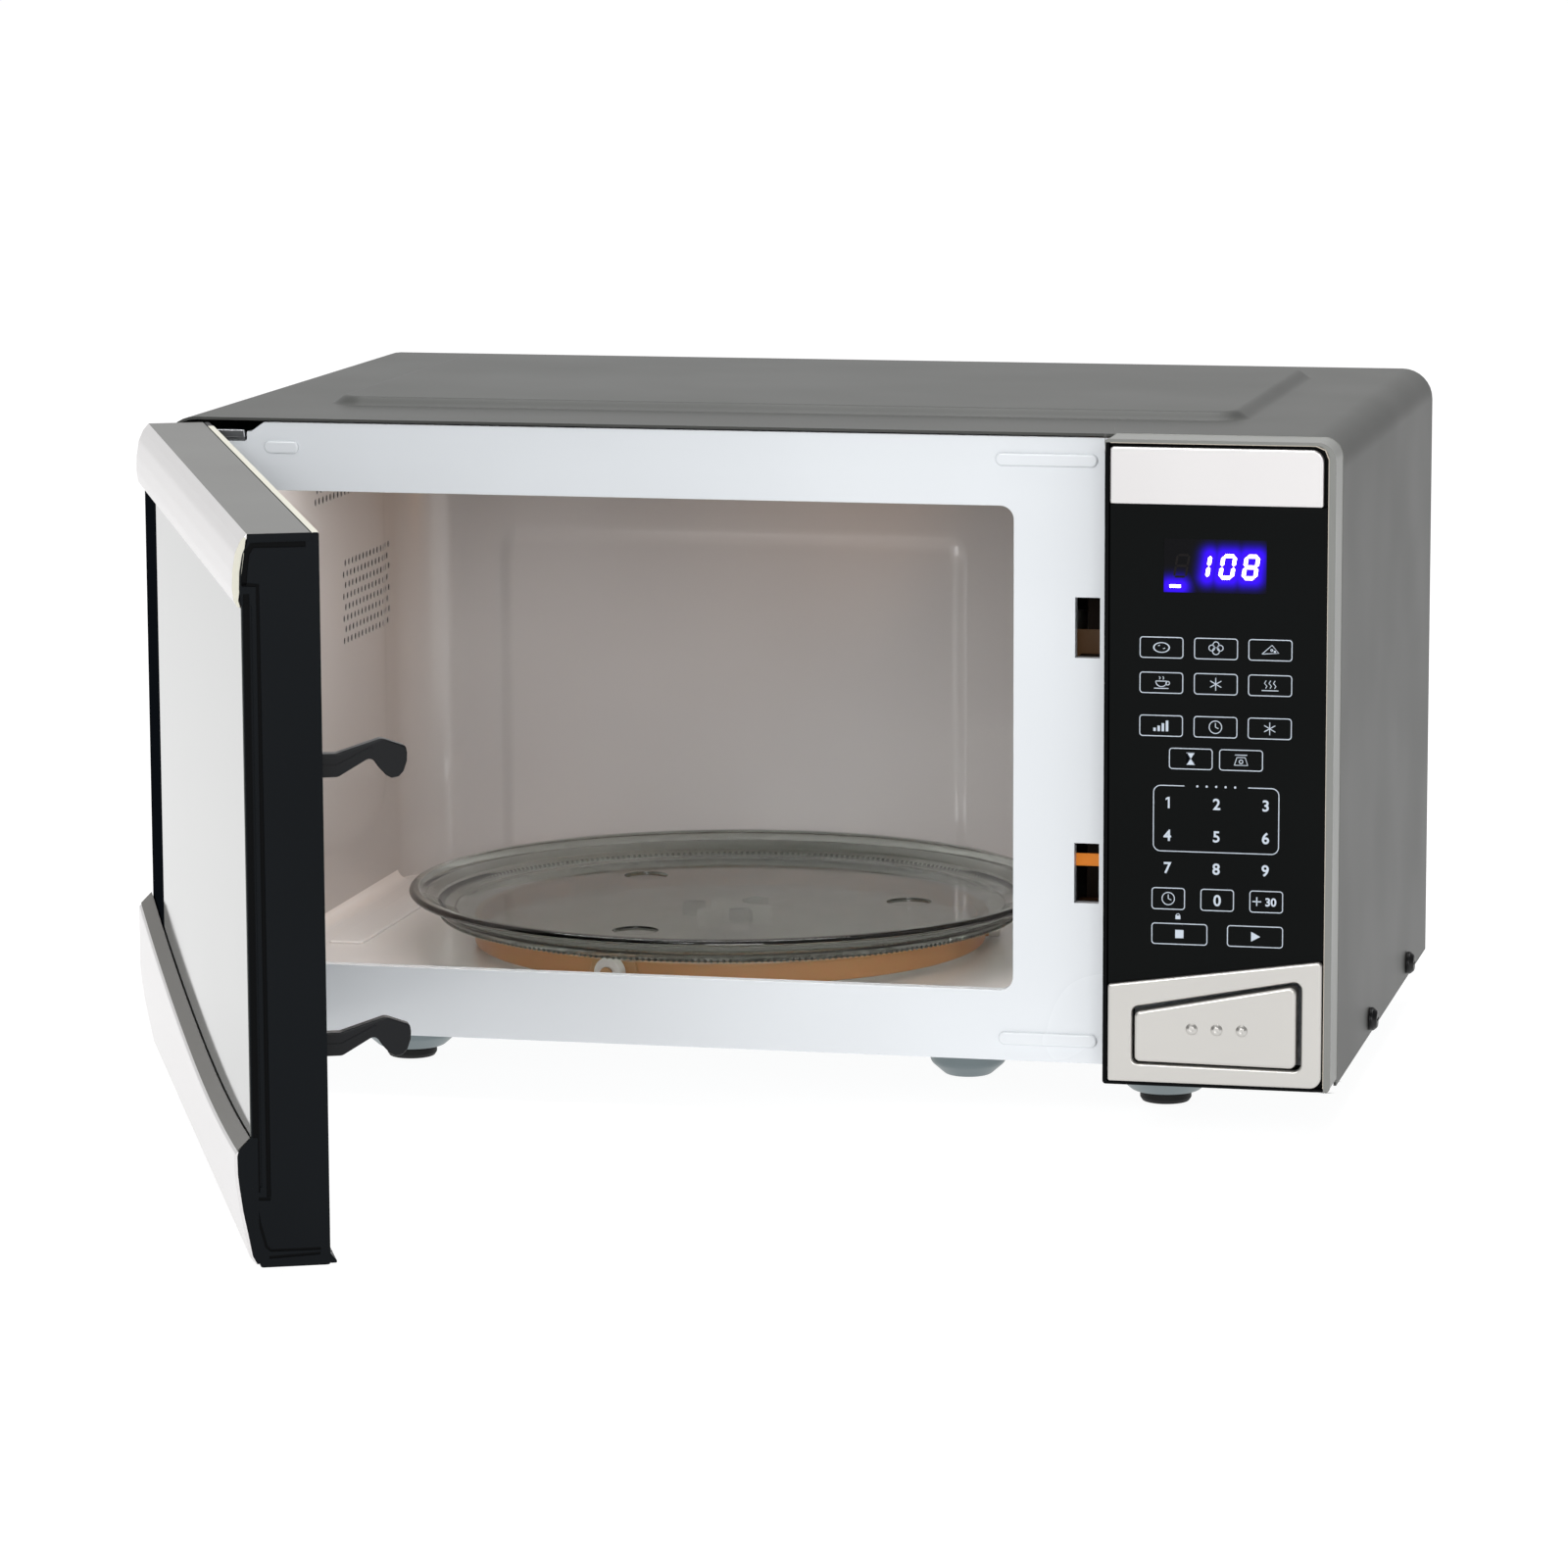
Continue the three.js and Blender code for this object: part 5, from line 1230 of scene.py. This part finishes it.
def latch_hooks():
    s = Span("latch_hooks", DOOR)
    radii = [0, 3, 2, 1.5, 1.5, 1, 1, 1, 1.5, 1.2, 1.4, 3, 3, 0]
    hooks = []
    for bottom in HOOK_BOTTOMS:
        outline = [(-3.6 + behind, bottom + up) for behind, up in HOOK]
        hooks.append(plate([rounded(outline, radii, 4)], s.x0, s.x1, "x", 0.55, 3))
        inset = [(-3.6 + behind, bottom + up) for behind, up in ((2, 4.4), (7.2, 4.4), (18.4, 10))]
        hooks.append(ribbon(inset, 1.0, s.x1 - 0.1, s.x1 + 0.35))
        hooks.append(ribbon(inset, 1.0, s.x0 - 0.35, s.x0 + 0.1))
    bar = block(s.x0, s.x1, s.y0, -6.4, 74, 206, 0.5)
    piece("latch_hooks_pair", together(*hooks, bar), "latch", "black_plastic",
          ["latch_hooks"], DOOR)


# ---------- underside, back and hinges ----------

def feet():
    for node in ("foot_front_left", "foot_front_right", "foot_rear_left", "foot_rear_right"):
        s = Span(node)
        profile = rounded([(0, 0), (8.7, 0), (9.6, 1.4), (9.6, 3.9), (2.6, 3.9), (2.6, 5.7), (4, 5.7),
                           (2.2, 8.5), (0, 8.5)], [0, 0.6, 0.6, 0.6, 0.1, 0.1, 0.4, 0.4, 0], 4)
        piece(node + "_rubber", turned(profile, (s.cx, s.cy), 64), "cabinet", "rubber", [node])


def base_plate():
    s = Span("base_plate")
    low, sheet = 19.6, 1.0
    step = rounded([(3.2, 23.4), (18, 23.4), (24, low), (s.y1, low), (s.y1, low + sheet),
                    (24.6, low + sheet), (18.6, 24.4), (3.2, 24.4)], [0.2, 2, 2, 0.2, 0.2, 2, 2, 0.2], 4)
    floor = plain([step], s.x0 + 0.3, s.x1 - 0.3, "x")
    places = [(Span(node).cx, Span(node).cy, 12.5, 22.6) for node in
              ("foot_front_left", "foot_front_right", "foot_rear_left", "foot_rear_right")]
    places.append((292, 65, 8.5, 17))
    cutters = [turned([(0, 10), (wide + 1, 10), (wide + 1, 30), (0, 30)], (x, y), 64)
               for x, y, _, wide in places]
    cutters += [cuboid(x, x + 4, 205, 245, 10, 30) for x in range(120, 174, 9)]
    floor = carved(floor, *cutters)
    dishes = []
    for x, y, flat, wide in places:
        profile = rounded([(0, 4.2), (flat, 4.2), (flat + 5.5, 9.0), (wide, low), (wide + 2.2, low),
                           (wide + 2.2, low + sheet), (wide - 0.8, low + sheet), (flat + 4.6, 9.7),
                           (flat - 0.5, 5.3), (0, 5.3)], [0, 3, 4, 1, 0.2, 0.2, 1, 4, 3, 0], 4)
        dishes.append(turned(profile, (x, y), 80))
    flanges = [block(x, x + sheet, 3.2, s.y1, low, s.z1, 0.2) for x in (s.x0, s.x1 - sheet)]
    piece("base_plate_sheet", together(floor, *dishes, *flanges), "cabinet", "galvanised",
          ["base_plate"], look="dish_paint")


def back_panel():
    s = Span("back_panel")
    y0, y1 = s.y0, s.y0 + 1.0
    face = rounded(rectangle(s.x0, s.x1, s.z0, s.z1), [1, 1, 10.4, 10.4], 8)
    gland = Span("cord_gland")
    holes = [circle(gland.cx, gland.cz, 6.9, 32)]
    holes += [round_rectangle(x, x + 4, 140, 205, 1.9, 4) for x in range(356, 420, 8)]
    holes += [round_rectangle(x, x + 4, 160, 200, 1.9, 4) for x in range(60, 160, 10)]
    sheet = plate([face, *holes], y0, y1, "y", 0.2)
    spacers = []
    for x in (40, 370):
        spacers.append(block(x, x + 30, y1 - 0.3, s.y1, 222, 240, 1.6))
        spacers.append(block(x - 3, x + 33, y1 - 0.3, y1 + 0.9, 219, 243, 0.4))
    beads = [plate([round_rectangle(60, 330, z, z + 9, 4.4, 6)], y1 - 0.4, y1 + 1.3, "y", 0.8, 4)
             for z in (60, 100)]
    screws = []
    for x, z in ((8, 40), (8, 140), (8, 232), (432, 40), (432, 140), (432, 232), (220, 246), (220, 27)):
        head = rounded([(0, 0), (3.8, 0), (3.6, 1.2), (2.2, 1.9), (0, 2.0)], [0, 0.1, 0.8, 0.6, 0], 3)
        head = turned(head, (0, 0), 32, "z")
        head = carved(head, cuboid(-2.4, 2.4, -0.4, 0.4, 1.2, 3), cuboid(-0.4, 0.4, -2.4, 2.4, 1.2, 3))
        screws.append(moved(head, at((x, y1 - 0.1, z), -QUARTER, "X")))
    piece("back_panel_sheet", together(sheet, *spacers, *beads, *screws), "cabinet", "galvanised",
          ["back_panel"])
    ring_profile = rounded([(3.7, 273.2), (10, 273.2), (10, 275.2), (8, s.y0 + 4.7), (3.7, s.y0 + 4.7)],
                           [0.2, 0.2, 0.8, 0.8, 0.5], 4)
    body = rounded([(3.7, 264), (6.4, 264), (6.4, 273.4), (3.7, 273.4)], 0.2, 2)
    mesh = together(turned(ring_profile, (gland.cx, gland.cz), 48, "y"),
                    turned(body, (gland.cx, gland.cz), 48, "y"))
    piece("cord_gland_bush", mesh, "cabinet", "black_plastic", ["cord_gland"])


def hinges():
    pin_x, pin_y = 7.8, -17.7
    for node, z, pin in (("upper_hinge", 245.7, (234, 247.3)), ("lower_hinge", 20.8, (20.8, 34))):
        top = z + 1.6
        half_turn = [math.pi + math.pi * k / 12 for k in range(13)]
        outline = ([(pin_x - 4.5, pin_y)]
                   + [(pin_x + 5.2 * math.cos(a), pin_y + 5.2 * math.sin(a)) for a in half_turn]
                   + [(pin_x + 4.5, pin_y), (pin_x + 4.5, -2), (14.5, 1), (31, 1), (31, 14), (4, 14),
                      (4, 1), (pin_x - 4.5, -2)])
        arm = plate([outline], z, top, "z", 0.3)
        rod = rounded([(0, pin[0]), (2.5, pin[0]), (2.5, pin[1]), (0, pin[1])], [0, 0.4, 0.4, 0], 3)
        rod = turned(rod, (pin_x, pin_y), 40)
        centre_y = 5 if node == "upper_hinge" else 6
        low, high = (top - 0.3, top + 2.0) if node == "upper_hinge" else (z - 1.4, z + 0.4)
        head = rounded([(0, low), (3.8, low), (3.8, high), (0, high)], [0, 0.4, 0.9, 0], 4)
        rivet = turned(head, (24, centre_y), 48)
        small = rounded([(0, top - 0.2), (1.7, top - 0.2), (1.5, top + 1.4), (0, top + 1.4)],
                        [0, 0.1, 0.5, 0], 3)
        parts = [arm, rod, rivet]
        if node == "upper_hinge":
            parts.append(turned(small, (16.5, 4), 32))
            parts.append(block(13, 31.2, 0.2, 1.4, top - 0.4, top + 2.4, 0.3))
            parts.append(block(16, 31, 12.4, 14, 242.4, top, 0.3))
            parts.append(block(16, 31, 12.4, 30, 242.4, 244, 0.3))
        piece(node + "_bracket", together(*parts), "cabinet", "galvanised", [node], look="bright_steel")


def springs():
    """The two coil springs. Each stays with its fixed end."""
    for node, body, joint, wire, turns in (("slider_spring", "cabinet", "slider_lift", 0.45, 6),
                                           ("latch_spring", "door", "latch_slide", 0.35, 12)):
        s = Span(node)
        wide = (s.x1 - s.x0) / 2
        mesh = coil((s.cx, s.cy), wide - wire - 0.1, wire, s.z0 + 0.1, s.z1 - 0.1, turns)
        made = piece(node + "_coil", mesh, body, "bright_steel", [node])
        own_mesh(made)


def inner_parts():
    """CAD nodes whose own shape is right get their slot's material."""
    slots = {part["node"]: part["material_slot"] for part in frame["record"]["subparts"]}
    looks = {"latch_board": "dark_amber"}  # it is seen in shade, through the latch slots
    for name, node in frame["nodes"].items():
        node.data.materials.clear()
        node.data.materials.append(FINISH[looks.get(name, slots[name])])


def painted_glow_stops():
    """The latch board's stops, with painted amber light where they show behind the latch slots: a bright painted
    glow below and a dim one above.
    """
    for name, look, low, high in (("latch_stop_lower_painted_glow", "painted_glow_amber", 91.8, 91.8 + 4.6),
                                  ("latch_stop_upper_painted_glow", "painted_dim_glow_amber", 169.5, 169.5 + 10)):
        strip = block(338, 352.8, 27.55, 27.95, low, high, 0.1)
        piece(name, strip, "cabinet", "amber_plastic", look=look)


# ---------- stage ----------

def lamp(name, kind, place, aim, power, colour=(1, 1, 1), **settings):
    """A light at a place, pointing at aim, both in metres."""
    made = bpy.data.lights.new(name, kind)
    made.energy = power
    made.color = colour
    for key, value in settings.items():
        setattr(made, key, value)
    holder = bpy.data.objects.new(name, made)
    holder.location = place
    holder.rotation_euler = (Vector(aim) - Vector(place)).to_track_quat("-Z", "Y").to_euler()
    bpy.context.scene.collection.objects.link(holder)


def area(name, place, aim, size, power, colour=(1, 1, 1)):
    lamp(name, "AREA", place, aim, power, colour, shape="RECTANGLE", size=size[0], size_y=size[1])


SKY = {"front_back": (0.55, 0.8), "overhead": 0.7, "right": 0.35, "shown": 1.05}


def sky(world):
    """White to the camera. As a light it is bright in front and dims behind and overhead."""
    tree = world.node_tree
    nodes, links = tree.nodes, tree.links

    def mapped(source, low, high, start, end):
        made = nodes.new("ShaderNodeMapRange")
        made.interpolation_type = "SMOOTHSTEP"
        for key, value in (("From Min", low), ("From Max", high), ("To Min", start), ("To Max", end)):
            made.inputs[key].default_value = value
        links.new(source, made.inputs["Value"])
        return made.outputs["Result"]

    direction = nodes.new("ShaderNodeSeparateXYZ")
    links.new(nodes.new("ShaderNodeTexCoord").outputs["Generated"], direction.inputs["Vector"])
    level = nodes.new("ShaderNodeMath")
    level.operation = "MULTIPLY"
    links.new(mapped(direction.outputs["Y"], -0.5, 0.5, *SKY["front_back"]), level.inputs[0])
    sides = nodes.new("ShaderNodeMath")
    sides.operation = "MULTIPLY"
    links.new(mapped(direction.outputs["Z"], 0.2, 0.9, 1.0, SKY["overhead"]), sides.inputs[0])
    links.new(mapped(direction.outputs["X"], 0.1, 0.8, 1.0, SKY["right"]), sides.inputs[1])
    links.new(sides.outputs["Value"], level.inputs[1])
    shown = nodes.new("ShaderNodeMix")
    shown.data_type = "FLOAT"
    links.new(nodes.new("ShaderNodeLightPath").outputs["Is Camera Ray"], shown.inputs["Factor"])
    links.new(level.outputs["Value"], shown.inputs["A"])
    shown.inputs["B"].default_value = SKY["shown"]
    links.new(shown.outputs["Result"], nodes["Background"].inputs["Strength"])
    nodes["Background"].inputs["Color"].default_value = (1, 1, 1, 1)


def studio():
    scene = bpy.context.scene
    scene.view_settings.view_transform = "Standard"
    scene.world = bpy.data.worlds.new("studio")
    scene.world.use_nodes = True
    sky(scene.world)
    area("key", (-0.7, -2.9, 1.9), (0, 0, 0.12), (1.2, 1.2), 37)
    area("fill", (0.7, -2.6, 0.75), (0, 0.1, 0.1), (1.0, 0.8), 18)
    area("top", (0.0, 0.5, 2.4), (0, 0, 0.2), (1.8, 1.8), 54)
    roof = CABINET @ Vector((172, 60, 239))
    area("cavity_front", roof, roof + Vector((0, -0.01, -0.15)), (0.27, 0.09), 0.5, (1.0, 0.985, 0.97))
    lamp("cavity_lamp", "SPOT", CABINET @ Vector((318, 225, 205)), CABINET @ Vector((16, 110, 190)),
         0.5, (1.0, 0.5, 0.2), shadow_soft_size=0.01, spot_size=math.radians(110), spot_blend=1.0)

    shape = bmesh.new()
    bmesh.ops.create_grid(shape, x_segments=8, y_segments=8, size=30)
    mesh = bpy.data.meshes.new("floor")
    shape.to_mesh(mesh)
    shape.free()
    floor = bpy.data.objects.new("floor", mesh)
    scene.collection.objects.link(floor)
    floor.location.z = -0.0005
    material, tree, shader = principled("floor_paper", srgb(120, 120, 120), 1.0, Specular_IOR_Level=0.0)
    shader.inputs["Emission Color"].default_value = (1, 1, 1, 1)
    shader.inputs["Emission Strength"].default_value = 0.93
    cloud = texture(tree, "ShaderNodeTexNoise", 3, Detail=2.0)
    shades(tree, cloud.outputs["Fac"], srgb(119, 119, 119), srgb(121, 121, 121),
           shader.inputs["Base Color"])
    mesh.materials.append(material)


CAMERA = {"place": (721.4, -2151.7, 477.7), "yaw": 12.72, "pitch": 9.13, "roll": -0.23, "lens": 139.98}


def camera():
    yaw, pitch, roll = (math.radians(CAMERA[key]) for key in ("yaw", "pitch", "roll"))
    ahead = Vector((-math.sin(yaw) * math.cos(pitch), math.cos(yaw) * math.cos(pitch), -math.sin(pitch)))
    right = ahead.cross(Vector((0, 0, 1))).normalized()
    up = right.cross(ahead)
    right, up = (right * math.cos(roll) + up * math.sin(roll),
                 up * math.cos(roll) - right * math.sin(roll))
    data = bpy.data.cameras.new("camera")
    data.sensor_width = 36
    data.lens = CAMERA["lens"]
    data.clip_end = 50
    holder = bpy.data.objects.new("camera", data)
    turn = Matrix((right, up, -ahead)).transposed().to_4x4()
    holder.matrix_world = Matrix.Translation(CABINET @ Vector(CAMERA["place"])) @ turn
    bpy.context.scene.collection.objects.link(holder)
    bpy.context.scene.camera = holder


for make in (
    camera, studio, inner_parts, painted_glow_stops, outer_cover, side_screws, front_plate, cavity,
    glass_tray, coupler, roller_ring, control_housing, membrane, keypad_print, display, panel_trims,
    release_button, door_frame, door_glass, door_top_trim, door_lower_trim, door_inside, latch_hooks,
    springs, feet, base_plate, back_panel, hinges,
):
    make()
